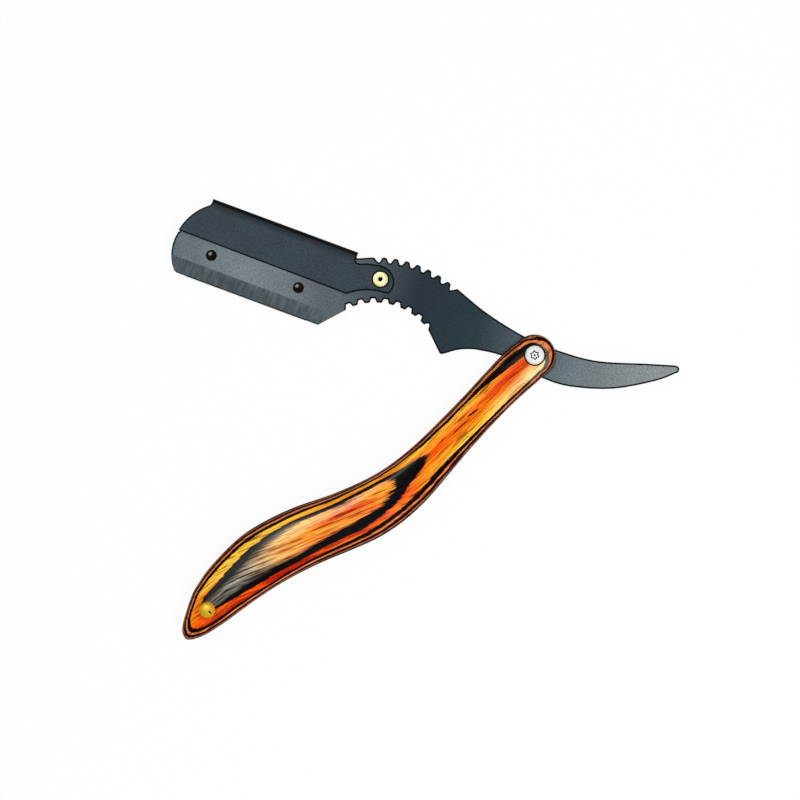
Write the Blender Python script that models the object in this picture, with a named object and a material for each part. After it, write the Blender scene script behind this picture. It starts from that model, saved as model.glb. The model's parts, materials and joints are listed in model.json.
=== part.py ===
"""Folding straight razor with a swing-lock holder for half a double-edge blade.

It lies flat and half open: X and Y span the plane of the blade, and +Z is up, through its thickness.
Sizes are written in millimetres and become metres when a mesh is finished.
The tang is drawn in a frame at the pivot with x towards its tail and y towards its spine.
The handle is drawn in a frame at the pivot with x towards its tail pin and y towards its back.
"""

import math

import bmesh
import bpy
from mathutils import Vector

# How the two halves stand to each other
MM = 0.001
TANG_TURN_DEG = -20.34
HANDLE_TURN_DEG = 217.88

# The stack through the thickness, measured from the middle of the tang plate
PLATE_HALF = 0.6
SHEET = 0.6
FACE_GAP = 0.05
BLADE_THICK = 0.1
SLOT_HALF = 1.6
BLADE_TOP = -PLATE_HALF - FACE_GAP
BLADE_LOW = BLADE_TOP - BLADE_THICK
FRONT_SHEET_MID = PLATE_HALF + FACE_GAP + SHEET / 2
REAR_SHEET_MID = BLADE_LOW - FACE_GAP - SHEET / 2

# Tang plate
EDGE_Y = -13.55
PLATE_TOP_Y = 8.6
HEEL = (-61.9, EDGE_Y)
TIP_CORNER = (-105.7, EDGE_Y)
BEVEL_TOP_Y = -9.1
BEVEL_DROP = 0.85
BEVEL_END_X = -61.2
LOWER_JIMPS = {"centre": (-42.05, -19.55), "root": 20.2, "tip": 19.0, "first": 127.8, "pitch": 10.6}
UPPER_JIMPS = {"centre": (-41.0, -21.18), "root": 32.45, "tip": 34.05, "first": 106.35, "pitch": 5.74}
TEETH = 7

# Swing cover
RIVET = (-49.5, 5.15)
RIVET_HEAD = 2.2
RIVET_BARREL = 1.4
RIVET_BORE = 0.63
RIVET_BORE_DEPTH = 1.6
RIVET_RISE = 0.3
FOLD_STEPS = 10
SPINE_LEFT_X = -103.0
SPINE_RIGHT_X = -58.2
FOLD_RADIUS = (FRONT_SHEET_MID - REAR_SHEET_MID) / 2
FOLD_Z = (FRONT_SHEET_MID + REAR_SHEET_MID) / 2
SPINE_TOP_Y = 10.2
FOLD_Y = SPINE_TOP_Y - FOLD_RADIUS - SHEET / 2
REAR_EDGE_Y = -12.4

# Half a double-edge blade and the pins that locate it
PINS_X = (-97.85, -70.95)
PIN_Y = -5.4
PIN_SHANK = 0.9
PIN_HEAD = 1.6
PIN_DOME = 0.45
BLADE_LENGTH = 42.9
BLADE_EDGE_LENGTH = 37.4
BLADE_WIDTH = 11.05
BLADE_SHOULDER = 2.3
BLADE_EXPOSURE = 0.15

# Handle scales: crown height over the inner face, along the handle
PIN_X = 120.0
ROUND_END = 6.15
ROUND_END_CENTRE = (0.08, 0.1)
CROWN = [(0, 3.05), (8, 3.22), (16, 3.36), (28, 3.34), (41, 3.36), (50, 3.53), (58, 3.95), (66, 4.13), (78, 4.2),
         (88, 4.25), (97, 4.15), (106, 3.95), (118, 3.62)]
CREST = [(0, 1.6), (10, 2.2), (25, 2.7), (38, 3.6), (50, 3.7), (60, 3.2), (70, 2.5), (80, 1.2), (90, 0.2),
         (100, -0.6), (110, -1.2), (118, -1.4)]
BACK_SIDE = [(3, 6.5), (15, 7.4), (30.7, 9.85), (46.4, 13.2), (53, 14.25), (60.3, 14.65), (68, 14.0), (76, 12.1),
             (86.4, 9.3), (97, 7.3), (107.3, 6.35), (118, 6.05)]
MOUTH_SIDE = [(3, -6.0), (8.1, -5.7), (15, -4.6), (25.5, -2.9), (41.2, -0.95), (51.6, -0.6), (60.3, -1.55),
              (70.8, -4.15), (81.2, -7.7), (89, -9.6), (97, -10.75), (104, -10.5), (112.5, -9.1), (118, -7.4)]
TAIL_END = [(118, 6.05), (124.7, 5.4), (129.0, 4.0), (130.2, 2.1), (128.3, -1.0), (121.3, -5.9), (118, -7.4)]
SPACER = [(113.5, 5.2), (120, 5.2), (125, 4.6), (128.2, 3.2), (128.9, 1.9), (127.0, -0.8), (121, -5.2), (113.5, -8.1)]
REST_LAND = 4.15
STATIONS = 44
RINGS = 8

# Fastenings through the handle
POST = 2.2
POST_BORE = 1.45
SCREW_SHANK = 1.3
HEAD = 2.75
HEAD_DOME = 1.35
SOCKET = 1.2
SOCKET_DEPTH = 0.7
PIVOT_SEAT = SLOT_HALF + 2.5
WASHER = 4.5
TAIL_PIN = 1.15
TAIL_HEAD = 2.28
TAIL_DOME = 0.95
TAIL_SEAT = SLOT_HALF + 3.2
BORE_GAP = 0.15
RUNNING_GAP = 0.08
ROUND_STEPS = 40


def clear_scene():
    for item in list(bpy.data.objects):
        bpy.data.objects.remove(item)


def finish_material(name, colour, metallic, roughness):
    material = bpy.data.materials.new(name)
    material.use_nodes = True
    shader = material.node_tree.nodes["Principled BSDF"]
    shader.inputs["Base Color"].default_value = (*colour, 1)
    shader.inputs["Metallic"].default_value = metallic
    shader.inputs["Roughness"].default_value = roughness
    return material


def pivot_empty(name, parent, place, turn_deg=0.0):
    """An empty that stands on a joint's axis and carries the pieces that turn on it."""
    empty = bpy.data.objects.new(name, None)
    bpy.context.collection.objects.link(empty)
    empty.parent = parent
    empty.location = Vector((place[0], place[1], 0)) * MM
    empty.rotation_euler.z = math.radians(turn_deg)
    return empty


def finish_piece(bm, name, parent, material=None, smooth_deg=None, origin=(0, 0)):
    """Turns a mesh drawn in millimetres into an object in metres, with its origin where asked."""
    bmesh.ops.translate(bm, vec=(-origin[0], -origin[1], 0), verts=bm.verts)
    bmesh.ops.scale(bm, vec=(MM, MM, MM), verts=bm.verts)
    mesh = bpy.data.meshes.new(name)
    bm.to_mesh(mesh)
    bm.free()
    if smooth_deg:
        mesh.shade_smooth()
        mesh.set_sharp_from_angle(angle=math.radians(smooth_deg))
    piece = bpy.data.objects.new(name, mesh)
    bpy.context.collection.objects.link(piece)
    piece.parent = parent
    if material:
        mesh.materials.append(material)
    return piece


def polar(centre, radius, degrees):
    angle = math.radians(degrees)
    return (centre[0] + radius * math.cos(angle), centre[1] + radius * math.sin(angle))


def arc(centre, radius, first_deg, last_deg, steps):
    """Points along a circular arc."""
    turn = (last_deg - first_deg) / steps
    return [polar(centre, radius, first_deg + turn * step) for step in range(steps + 1)]


def smooth_curve(points, steps):
    """An open curve that passes smoothly through its points, with steps in each span."""
    ends = [points[0], *points, points[-1]]
    curve = []
    for before, start, stop, after in zip(ends, ends[1:], ends[2:], ends[3:]):
        for step in range(steps):
            t = step / steps
            curve.append(tuple(
                0.5 * (2 * b + (c - a) * t + (2 * a - 5 * b + 4 * c - d) * t * t + (3 * b - a - 3 * c + d) * t ** 3)
                for a, b, c, d in zip(before, start, stop, after)))
    curve.append(tuple(points[-1]))
    return curve


def height_at(curve, x):
    """The second coordinate of a curve that runs forward in x, at x."""
    for start, stop in zip(curve, curve[1:]):
        if x <= stop[0]:
            share = (x - start[0]) / (stop[0] - start[0])
            return start[1] + (stop[1] - start[1]) * share
    return curve[-1][1]


def slab(outline, low, high):
    """A flat piece: its outline as a face, extruded from low to high."""
    bm = bmesh.new()
    face = bm.faces.new([bm.verts.new((x, y, low)) for x, y in outline])
    bmesh.ops.recalc_face_normals(bm, faces=[face])
    raised = bmesh.ops.extrude_face_region(bm, geom=[face])["geom"]
    top = [item for item in raised if isinstance(item, bmesh.types.BMVert)]
    bmesh.ops.translate(bm, vec=(0, 0, high - low), verts=top)
    bmesh.ops.recalc_face_normals(bm, faces=bm.faces)
    return bm


def turned(profile, centre=(0, 0), closed=False, steps=ROUND_STEPS):
    """A round piece: a profile of (radius, z) points spun about its own axis."""
    bm = bmesh.new()
    verts = [bm.verts.new((centre[0] + radius, centre[1], z)) for radius, z in profile]
    edges = [bm.edges.new(pair) for pair in zip(verts, verts[1:])]
    if closed:
        edges.append(bm.edges.new((verts[-1], verts[0])))
    bmesh.ops.spin(bm, geom=verts + edges, cent=(*centre, 0), axis=(0, 0, 1), angle=math.tau, steps=steps,
                   use_merge=True)
    bmesh.ops.remove_doubles(bm, verts=bm.verts, dist=1e-4)
    bmesh.ops.recalc_face_normals(bm, faces=bm.faces)
    return bm


def cut(piece, cutter_mesh, name, parent):
    """Cuts a closed mesh out of a piece with a Boolean, and keeps the cutter as a hidden helper."""
    cutter = finish_piece(cutter_mesh, name, parent)
    cutter.hide_render = True
    cutter.display_type = "WIRE"
    modifier = piece.modifiers.new(name, "BOOLEAN")
    modifier.operation = "DIFFERENCE"
    modifier.solver = "EXACT"
    modifier.object = cutter


def drill(piece, parent, place, radius, low, high, name):
    cut(piece, turned([(0, low), (radius, low), (radius, high), (0, high)], place), name, parent)


def flat_teeth(row):
    """Teeth with flat tips along an arc, from the heel towards the spur."""
    flanks = ((0.5, "root"), (0.36, "root"), (0.2, "tip"), (-0.2, "tip"), (-0.36, "root"))
    points = []
    for tooth in range(TEETH):
        middle = row["first"] - row["pitch"] * tooth
        for share, height in flanks:
            points.append(polar(row["centre"], row[height], middle + share * row["pitch"]))
    last = row["first"] - row["pitch"] * (TEETH - 0.5)
    points.append(polar(row["centre"], row["root"], last))
    return points


def round_teeth(row, steps=10, squareness=1.8, fullness=0.25):
    """Rounded teeth and narrower notches along an arc, from the tang's back towards the cover."""
    points = []
    for step in range(TEETH * steps + 1):
        turns = TEETH - 0.5 - step / steps
        wave = math.tanh(squareness * (math.cos(math.tau * turns) + fullness))
        height = row["root"] + (row["tip"] - row["root"]) * (0.5 + 0.5 * wave)
        points.append(polar(row["centre"], height, row["first"] - row["pitch"] * turns))
    return points


def tang_outline():
    """The plate from the edge's tip corner, along the edge, round the tail and back over the top."""
    spur = [(-26.25, -8.75), (-25.85, -9.1), (-25.2, -8.95)]
    belly = smooth_curve([(-24.4, -8.45), (-21.7, -6.45), (-18.6, -5.0), (-15.4, -4.15), (-9, -3.4), (-3, -4.1),
                          (4.7, -5.4), (13.1, -4.85), (24.8, -1.15), (35.45, 5.2), (40.1, 9.2)], 4)
    tail_tip = arc((39.85, 10.4), 1.1, -40, 105, 6)
    back = smooth_curve([(38.8, 11.3), (31.9, 9.2), (24.2, 6.65), (18.3, 4.95), (12.1, 4.0), (3, 3.7), (-4.3, 4.1),
                         (-12.2, 5.5), (-19.5, 7.4), (-27.5, 10.3)], 3)
    top = [(-52.6, 9.95), (-53.1, 10.35), (-53.7, 10.4), (-57.7, PLATE_TOP_Y)]
    nose = arc((-93.8, -4.5), 15.4, 121.1, 171, 7) + arc((-97.2, -5.1), 12.4, 167, 221, 6)
    heel_top = [(-55.8, -6.6), (-56.3, -5.2)]
    spur_shoulder = [(-31.45, -3.75)]
    return ([TIP_CORNER, HEEL] + heel_top + flat_teeth(LOWER_JIMPS) + spur_shoulder + spur + belly + tail_tip
            + back + round_teeth(UPPER_JIMPS) + top + nose)


def make_tang(parent, steel):
    """One sheet of steel: holder plate, jimped neck, pivot eye and curved tail, with a ground bevel."""
    piece = finish_piece(slab(tang_outline(), -PLATE_HALF, PLATE_HALF), "tang_plate", parent, steel)
    slope = BEVEL_DROP / (BEVEL_TOP_Y - EDGE_Y)
    beyond = EDGE_Y - 1
    above = PLATE_HALF + 1
    wedge = bmesh.new()
    side = [(beyond, PLATE_HALF - slope * (BEVEL_TOP_Y - beyond)), (BEVEL_TOP_Y + 1 / slope, above), (beyond, above)]
    face = wedge.faces.new([wedge.verts.new((TIP_CORNER[0] - 6, y, z)) for y, z in side])
    raised = bmesh.ops.extrude_face_region(wedge, geom=[face])["geom"]
    ends = [item for item in raised if isinstance(item, bmesh.types.BMVert)]
    bmesh.ops.translate(wedge, vec=(BEVEL_END_X - TIP_CORNER[0] + 6, 0, 0), verts=ends)
    bmesh.ops.recalc_face_normals(wedge, faces=wedge.faces)
    cut(piece, wedge, "cut_bevel", parent)
    through = PLATE_HALF + 1
    drill(piece, parent, (0, 0), POST + RUNNING_GAP, -through, through, "cut_pivot_eye")
    drill(piece, parent, RIVET, RIVET_BARREL + RUNNING_GAP, -through, through, "cut_rivet_hole")
    for x in PINS_X:
        drill(piece, parent, (x, PIN_Y), PIN_SHANK + FACE_GAP, -through, through, "cut_pin_hole")


def ear_outline():
    """The cover's ear round the rivet, from its lower edge up to the end of the fold."""
    return [(-57.3, -2.3), (-56.6, -1.7), (-54.5, -0.3), (-52.1, 0.85), (-49.2, 1.6), (-46.6, 1.9), (-45.8, 2.1),
            *arc((-50.05, 4.15), 4.85, -12, 95, 10), (-52.2, 8.75), (-54.6, 8.15), (-56.7, 7.25), (-57.6, 7.25),
            (-58.1, 7.75)]


def make_cover(parent, steel):
    """One folded sheet: front flange, half-round spine and rear flange, drawn at its middle surface."""
    bm = bmesh.new()
    nose = arc((-93.8, -4.5), 15.8, 127, 169.5, 7)
    front = [(SPINE_RIGHT_X, FOLD_Y), (SPINE_LEFT_X, FOLD_Y), *nose, (-109.1, -1.85), *ear_outline()]
    rear = [*arc((-93.8, -4.5), 15.0, 121, 169.5, 7), *arc((-97.2, -5.1), 11.7, 170, 218, 5),
            (-105.0, REAR_EDGE_Y), (-62.6, REAR_EDGE_Y), *ear_outline()]
    front_verts = [bm.verts.new((x, y, FRONT_SHEET_MID)) for x, y in front]
    bm.faces.new(front_verts)
    spine = bm.edges.get(front_verts[:2])
    swept = bmesh.ops.spin(bm, geom=[spine, *spine.verts], cent=(0, FOLD_Y, FOLD_Z), axis=(1, 0, 0),
                           angle=-math.pi, steps=FOLD_STEPS)["geom_last"]
    last = [item for item in swept if isinstance(item, bmesh.types.BMVert)]
    last.sort(key=lambda vert: -vert.co.x)
    bm.faces.new(last + [bm.verts.new((x, y, REAR_SHEET_MID)) for x, y in rear])
    bmesh.ops.recalc_face_normals(bm, faces=bm.faces)
    piece = finish_piece(bm, "swing_cover", parent, steel, 35, RIVET)
    thicken = piece.modifiers.new("sheet", "SOLIDIFY")
    thicken.thickness = SHEET * MM
    thicken.offset = 0
    thicken.use_even_offset = True
    drill(piece, parent, (0, 0), RIVET_BARREL + RUNNING_GAP, REAR_SHEET_MID - 1, FRONT_SHEET_MID + 1, "cut_ear_hole")


def make_rivet(parent, brass):
    """A semi-tubular rivet: a plain head behind, and a bored end rolled over in front."""
    front = FRONT_SHEET_MID + SHEET / 2 + FACE_GAP
    rear = REAR_SHEET_MID - SHEET / 2 - FACE_GAP
    lip = RIVET_HEAD - 0.25
    bore_floor = front - RIVET_BORE_DEPTH
    profile = [(0, rear - RIVET_RISE), (lip, rear - RIVET_RISE), (RIVET_HEAD, rear - RIVET_RISE / 2),
               (RIVET_HEAD, rear), (RIVET_BARREL, rear), (RIVET_BARREL, front), (RIVET_HEAD, front),
               (RIVET_HEAD, front + RIVET_RISE / 2), (lip, front + RIVET_RISE), (RIVET_BORE, front + RIVET_RISE),
               (RIVET_BORE, bore_floor), (0, bore_floor)]
    finish_piece(turned(profile, RIVET), "cover_rivet", parent, brass, 35)


def dome(radius, base, rise, steps=5):
    """The profile of a low dome from its rim at base to its top."""
    return [(radius * math.cos(math.pi / 2 * step / steps), base + rise * math.sin(math.pi / 2 * step / steps))
            for step in range(steps)] + [(0, base + rise)]


def make_blade_pins(parent, steel):
    """Two domed pins through the plate, which locate the blade on its rear side."""
    seat = PLATE_HALF + FACE_GAP
    for name, x in zip(("blade_pin_tip", "blade_pin_heel"), PINS_X):
        profile = [(0, BLADE_LOW), (PIN_SHANK, BLADE_LOW), (PIN_SHANK, seat), *dome(PIN_HEAD, seat, PIN_DOME)]
        finish_piece(turned(profile, (x, PIN_Y), steps=24), name, parent, steel, 35)


def make_blade(parent, steel):
    """Half of a double-edge blade: a long body with a shorter cutting edge and two holes."""
    middle = sum(PINS_X) / 2
    low = EDGE_Y - BLADE_EXPOSURE
    edge = BLADE_EDGE_LENGTH / 2
    body = BLADE_LENGTH / 2
    right = [(edge, low), (edge, low + BLADE_SHOULDER), (body, low + BLADE_SHOULDER), (body, low + BLADE_WIDTH)]
    outline = [(middle + x, y) for x, y in right] + [(middle - x, y) for x, y in reversed(right)]
    piece = finish_piece(slab(outline, BLADE_LOW, BLADE_TOP), "razor_blade", parent, steel)
    for x in PINS_X:
        drill(piece, parent, (x, PIN_Y), PIN_SHANK + BORE_GAP, BLADE_LOW - 1, BLADE_TOP + 1, "cut_blade_hole")


def scale_outline():
    """Outline points with the crest point that each belongs to, once round the scale."""
    back = smooth_curve(BACK_SIDE, 4)
    mouth = smooth_curve(MOUTH_SIDE, 4)
    crest = smooth_curve(CREST, 4)
    first, last = BACK_SIDE[0][0], BACK_SIDE[-1][0]
    stations = [first + (last - first) * step / STATIONS for step in range(STATIONS + 1)]
    spots = [(x, height_at(crest, x)) for x in stations]
    rim = [(x, height_at(back, x)) for x in stations]
    pairs = list(zip(rim, spots))
    pairs += [(point, spots[-1]) for point in smooth_curve(TAIL_END, 3)[1:-1]]
    pairs += list(zip([(x, height_at(mouth, x)) for x in reversed(stations)], reversed(spots)))
    pairs += [(point, spots[0]) for point in arc(ROUND_END_CENTRE, ROUND_END, -80, -280, 16)]
    return pairs


def make_scale(name, parent, wood, side):
    """A scale of laminated wood: its outline raised in rings to the crest, along an elliptical section."""
    crown = smooth_curve(CROWN, 4)
    pairs = scale_outline()
    bm = bmesh.new()
    top = bm.faces.new([bm.verts.new((x, y, 0)) for (x, y), _ in pairs])
    for ring in range(1, RINGS + 1):
        rise = math.sin(math.pi / 2 * ring / RINGS)
        spread = math.cos(math.pi / 2 * ring / RINGS)
        made = bmesh.ops.extrude_face_region(bm, geom=[top])["geom"]
        if ring > 1:
            bmesh.ops.delete(bm, geom=[top], context="FACES_ONLY")
        top = next(item for item in made if isinstance(item, bmesh.types.BMFace))
        for vert, ((x, y), (ridge_x, ridge_y)) in zip(top.verts, pairs):
            height = rise * height_at(crown, ridge_x)
            if side < 0:
                height = min(height, REST_LAND)
            vert.co = (ridge_x + (x - ridge_x) * spread, ridge_y + (y - ridge_y) * spread, height)
    bmesh.ops.delete(bm, geom=[top], context="FACES_ONLY")
    bmesh.ops.remove_doubles(bm, verts=bm.verts, dist=1e-3)
    bmesh.ops.translate(bm, vec=(0, 0, SLOT_HALF), verts=bm.verts)
    bmesh.ops.scale(bm, vec=(1, 1, side), verts=bm.verts)
    bmesh.ops.recalc_face_normals(bm, faces=bm.faces)
    piece = finish_piece(bm, name, parent, wood, 60)
    for label, place, bore, seat, head in (("pivot", (0, 0), POST, PIVOT_SEAT, HEAD),
                                           ("tail", (PIN_X, 0), TAIL_PIN, TAIL_SEAT, TAIL_HEAD)):
        outside = sorted((side * (seat - FACE_GAP), side * (seat + 3)))
        through = sorted((side * (SLOT_HALF - 1), side * (seat + 1)))
        drill(piece, parent, place, head + BORE_GAP, *outside, f"cut_{label}_seat")
        drill(piece, parent, place, bore + BORE_GAP, *through, f"cut_{label}_bore")


def make_tail_fastening(parent, wood, brass):
    """The wedge that keeps the scales apart at the tail, and the peened pin through all three."""
    piece = finish_piece(slab(SPACER, FACE_GAP - SLOT_HALF, SLOT_HALF - FACE_GAP), "tail_spacer", parent, wood)
    drill(piece, parent, (PIN_X, 0), TAIL_PIN + BORE_GAP, -SLOT_HALF - 1, SLOT_HALF + 1, "cut_spacer_bore")
    upper = dome(TAIL_HEAD, TAIL_SEAT, TAIL_DOME)
    lower = [(radius, -z) for radius, z in reversed(upper)]
    profile = lower + [(TAIL_PIN, -TAIL_SEAT), (TAIL_PIN, TAIL_SEAT)] + upper
    finish_piece(turned(profile, (PIN_X, 0)), "tail_pin", parent, brass, 35)


def make_pivot_fastening(parent, steel):
    """A post from behind, a screw into it from the front, and a washer each side of the tang."""
    head = dome(HEAD, PIVOT_SEAT, HEAD_DOME)
    floor = PIVOT_SEAT + HEAD_DOME - SOCKET_DEPTH
    rim = [point for point in head if point[0] > SOCKET]
    top = rim[-1][1]
    socket = [(SOCKET, top), (SOCKET, floor), (0, floor)]
    shank_end = -PIVOT_SEAT + 1.2
    screw = [(0, shank_end + 0.5), (SCREW_SHANK, shank_end + 0.5), (SCREW_SHANK, PIVOT_SEAT), *rim, *socket]
    finish_piece(turned(screw), "pivot_screw", parent, steel, 35)
    barrel_end = PIVOT_SEAT - 2 * FACE_GAP
    back = [(radius, -z) for radius, z in reversed(rim + socket)]
    post = back + [(POST, -PIVOT_SEAT), (POST, barrel_end), (POST_BORE, barrel_end), (POST_BORE, shank_end),
                   (0, shank_end)]
    finish_piece(turned(post), "pivot_post", parent, steel, 35)
    inner, outer = PLATE_HALF + FACE_GAP, SLOT_HALF - FACE_GAP
    bore = POST + BORE_GAP
    for name, side in (("pivot_washer_front", 1), ("pivot_washer_rear", -1)):
        ring = [(bore, side * inner), (WASHER, side * inner), (WASHER, side * outer), (bore, side * outer)]
        finish_piece(turned(ring, closed=True), name, parent, steel, 35)


def stand_on_origin(assembly):
    """Moves the whole razor so that the middle of its base is at the origin."""
    bpy.context.view_layer.update()
    graph = bpy.context.evaluated_depsgraph_get()
    corners = []
    for item in bpy.data.objects:
        if item.type == "MESH" and not item.hide_render:
            shown = item.evaluated_get(graph)
            corners += [shown.matrix_world @ vert.co for vert in shown.data.vertices]
    low = [min(corner[axis] for corner in corners) for axis in range(3)]
    high = [max(corner[axis] for corner in corners) for axis in range(3)]
    assembly.location = (-(low[0] + high[0]) / 2, -(low[1] + high[1]) / 2, -low[2])
    bpy.context.view_layer.update()


def build():
    clear_scene()
    black_steel = finish_material("blackened_steel", (0.045, 0.06, 0.075), 0.6, 0.5)
    grey_steel = finish_material("brushed_grey_steel", (0.12, 0.15, 0.165), 0.7, 0.45)
    pin_steel = finish_material("polished_black_steel", (0.01, 0.012, 0.014), 0.5, 0.15)
    bright_steel = finish_material("bright_steel", (0.75, 0.75, 0.72), 1.0, 0.25)
    brass = finish_material("brass", (0.83, 0.62, 0.18), 1.0, 0.25)
    wood = finish_material("laminated_wood", (0.62, 0.17, 0.02), 0.0, 0.25)

    assembly = pivot_empty("razor", None, (0, 0))
    handle = pivot_empty("handle_frame", assembly, (0, 0), HANDLE_TURN_DEG)
    tang = pivot_empty("blade_pivot_axis", assembly, (0, 0), TANG_TURN_DEG)
    cover = pivot_empty("cover_swing_axis", tang, RIVET)

    make_tang(tang, grey_steel)
    make_blade(tang, bright_steel)
    make_blade_pins(tang, pin_steel)
    make_rivet(tang, brass)
    make_cover(cover, black_steel)
    make_scale("scale_front", handle, wood, 1)
    make_scale("scale_rear", handle, wood, -1)
    make_tail_fastening(handle, wood, brass)
    make_pivot_fastening(handle, bright_steel)
    stand_on_origin(assembly)
    for axis in (tang, cover):
        print(axis.name, [round(value, 5) for value in axis.matrix_world.translation])


build()
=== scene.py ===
# %% [markdown]
# # A folding razor with a laminated wood handle
#
# This lesson dresses a packed mechanical model of a razor that takes half a blade. The model brings the
# sizes, the two hinges and a plain solid for each piece. Here each piece gets its finished surface: rounded
# steel edges, turned brass, and scales cut from a block of dyed veneers. The first cell loads the model.

# %% Load the imported model
import json
import math

import bmesh
import bpy
from mathutils import Matrix, Vector


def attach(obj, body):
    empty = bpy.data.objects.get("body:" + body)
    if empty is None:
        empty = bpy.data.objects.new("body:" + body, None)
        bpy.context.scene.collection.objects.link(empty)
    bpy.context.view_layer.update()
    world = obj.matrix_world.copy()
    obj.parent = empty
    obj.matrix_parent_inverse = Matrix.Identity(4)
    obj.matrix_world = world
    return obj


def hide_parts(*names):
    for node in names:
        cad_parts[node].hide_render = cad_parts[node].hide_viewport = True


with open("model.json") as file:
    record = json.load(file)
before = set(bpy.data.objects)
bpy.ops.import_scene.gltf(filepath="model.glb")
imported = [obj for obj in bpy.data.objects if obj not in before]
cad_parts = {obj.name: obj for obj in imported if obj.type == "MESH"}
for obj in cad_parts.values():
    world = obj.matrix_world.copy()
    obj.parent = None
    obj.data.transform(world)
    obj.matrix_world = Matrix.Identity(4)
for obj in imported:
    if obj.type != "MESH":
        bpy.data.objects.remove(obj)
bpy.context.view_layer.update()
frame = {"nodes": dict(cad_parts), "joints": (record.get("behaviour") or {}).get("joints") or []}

print("nodes:", ", ".join(sorted(frame["nodes"])))

# %% [markdown]
# ## Two drawing boards
#
# The razor is half open, so neither half lies along X. Drawing each half on its own board, in millimetres
# with the pivot at zero, keeps every number short. A matrix then turns a board into its place in the world.
# On the tang's board x runs to the tail and y to the spine. On the handle's board x runs to the tail pin and
# y to the handle's back. Both boards have z = 0 in the middle of the steel.

# %% The boards and how they stand in the world
MM = 0.001
TANG_TURN = math.radians(-20.34)
HANDLE_TURN = math.radians(217.88)
hinges = {joint["name"]: Vector(joint["pos_m"]) for joint in frame["joints"]}
PIVOT = hinges["blade_pivot"]


def board(turn):
    return Matrix.Translation(PIVOT) @ Matrix.Rotation(turn, 4, "Z") @ Matrix.Scale(MM, 4)


TANG = board(TANG_TURN)
HANDLE = board(HANDLE_TURN)
rivet_spot = TANG.inverted() @ hinges["cover_swing"]
print("rivet on the tang's board, mm:", [round(value, 2) for value in rivet_spot])

# %% [markdown]
# ## From a mesh on a board to a piece
#
# A finished piece has to sit at the world's origin, unturned and unscaled, with its place in its vertices:
# then a pattern on Object coordinates stays put when the piece is exported. So the board's matrix is applied
# to the vertices, and only then the mesh becomes an object. The piece rides on a body and stands for a plain
# node.

# %% Settle a mesh into its place
SMOOTH_DEG = 38


def settle(bm, name, place, finish, body, node, smooth_deg=SMOOTH_DEG):
    """Turns a mesh on a board into a finished piece."""
    bmesh.ops.transform(bm, matrix=place, verts=bm.verts)
    bmesh.ops.recalc_face_normals(bm, faces=bm.faces)
    mesh = bpy.data.meshes.new(name)
    bm.to_mesh(mesh)
    bm.free()
    mesh.materials.append(finish)
    piece = bpy.data.objects.new(name, mesh)
    bpy.context.collection.objects.link(piece)
    smooth(mesh, smooth_deg)
    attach(piece, body)
    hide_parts(node)
    return piece


def smooth(mesh, degrees):
    """Smooth shading, with edges sharper than an angle kept sharp."""
    mesh.shade_smooth()
    mesh.set_sharp_from_angle(angle=math.radians(degrees))


print("edges sharper than", SMOOTH_DEG, "degrees stay sharp")

# %% [markdown]
# ## A short way to write shader nodes
#
# Each finish is a tree of nodes on one shader, the Principled BSDF. Nodes could be laid out by hand in the
# Shader Editor, but in code the same tree can be made again for any piece. It gets long, because each node,
# value and link is a line, so a few helpers keep it readable: add makes a node and fills its inputs, and
# calc, product and total do sums with numbers or with what other nodes give.

# %% Helpers that make nodes and do sums
def linear(*srgb):
    """A screen colour, 0 to 255, made linear as shaders want it."""
    parts = [value / 255 for value in srgb]
    return tuple(p / 12.92 if p <= 0.04045 else ((p + 0.055) / 1.055) ** 2.4 for p in parts) + (1,)


def new_finish(name, **shader_values):
    """A material, its node tree and its shader with some values filled in."""
    finish = bpy.data.materials.new(name)
    finish.use_nodes = True
    shader = finish.node_tree.nodes["Principled BSDF"]
    for socket, value in shader_values.items():
        shader.inputs[socket.replace("_", " ")].default_value = value
    return finish, finish.node_tree, shader


def add(tree, kind, inputs=None, **settings):
    node = tree.nodes.new(kind)
    for name, value in settings.items():
        setattr(node, name, value)
    for name, value in (inputs or {}).items():
        if isinstance(value, bpy.types.NodeSocket):
            tree.links.new(value, node.inputs[name])
        else:
            node.inputs[name].default_value = value
    return node


def calc(tree, operation, first, second=0.0, third=0.0):
    return add(tree, "ShaderNodeMath", {0: first, 1: second, 2: third}, operation=operation).outputs[0]


def product(tree, first, *others):
    for other in others:
        first = calc(tree, "MULTIPLY", first, other)
    return first


def total(tree, first, *others):
    for other in others:
        first = calc(tree, "ADD", first, other)
    return first


print("mid grey on screen is", round(linear(128)[0], 3), "in linear light")

# %% [markdown]
# ## Coordinates, noise and colour
#
# Wood grain and brushed steel could come from pictures, but those would need unwrapping and would blur close
# up. Noise on Object coordinates needs neither. On a drawing board it can be stretched along the grain, so
# one helper takes the world back to the board: the Mapping node's Texture type undoes a place, a turn and a
# scale. A ramp then turns a number into a colour, spread takes a number from one range to another, and blend
# mixes two colours.

# %% Helpers for patterns and colours
# Nearly all of what a noise gives lies in the first range, and most of it in the second
WIDE_NOISE = (0.25, 0.75)
MOST_NOISE = (0.3, 0.7)
# The roughness of a noise with much fine detail
FINE = 0.65


def on_board(tree, turn):
    """Object coordinates in millimetres on a drawing board."""
    world = add(tree, "ShaderNodeTexCoord").outputs["Object"]
    values = {"Vector": world, "Location": PIVOT, "Rotation": (0, 0, turn), "Scale": (MM, MM, MM)}
    return add(tree, "ShaderNodeMapping", values, vector_type="TEXTURE").outputs[0]


def noise(tree, spot, stretch, detail=3.0, roughness=0.55):
    """Noise with its own frequency along each axis, per millimetre."""
    scaled = add(tree, "ShaderNodeVectorMath", {0: spot, 1: stretch}, operation="MULTIPLY").outputs[0]
    values = {"Vector": scaled, "Scale": 1.0, "Detail": detail, "Roughness": roughness}
    return add(tree, "ShaderNodeTexNoise", values).outputs[0]


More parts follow.
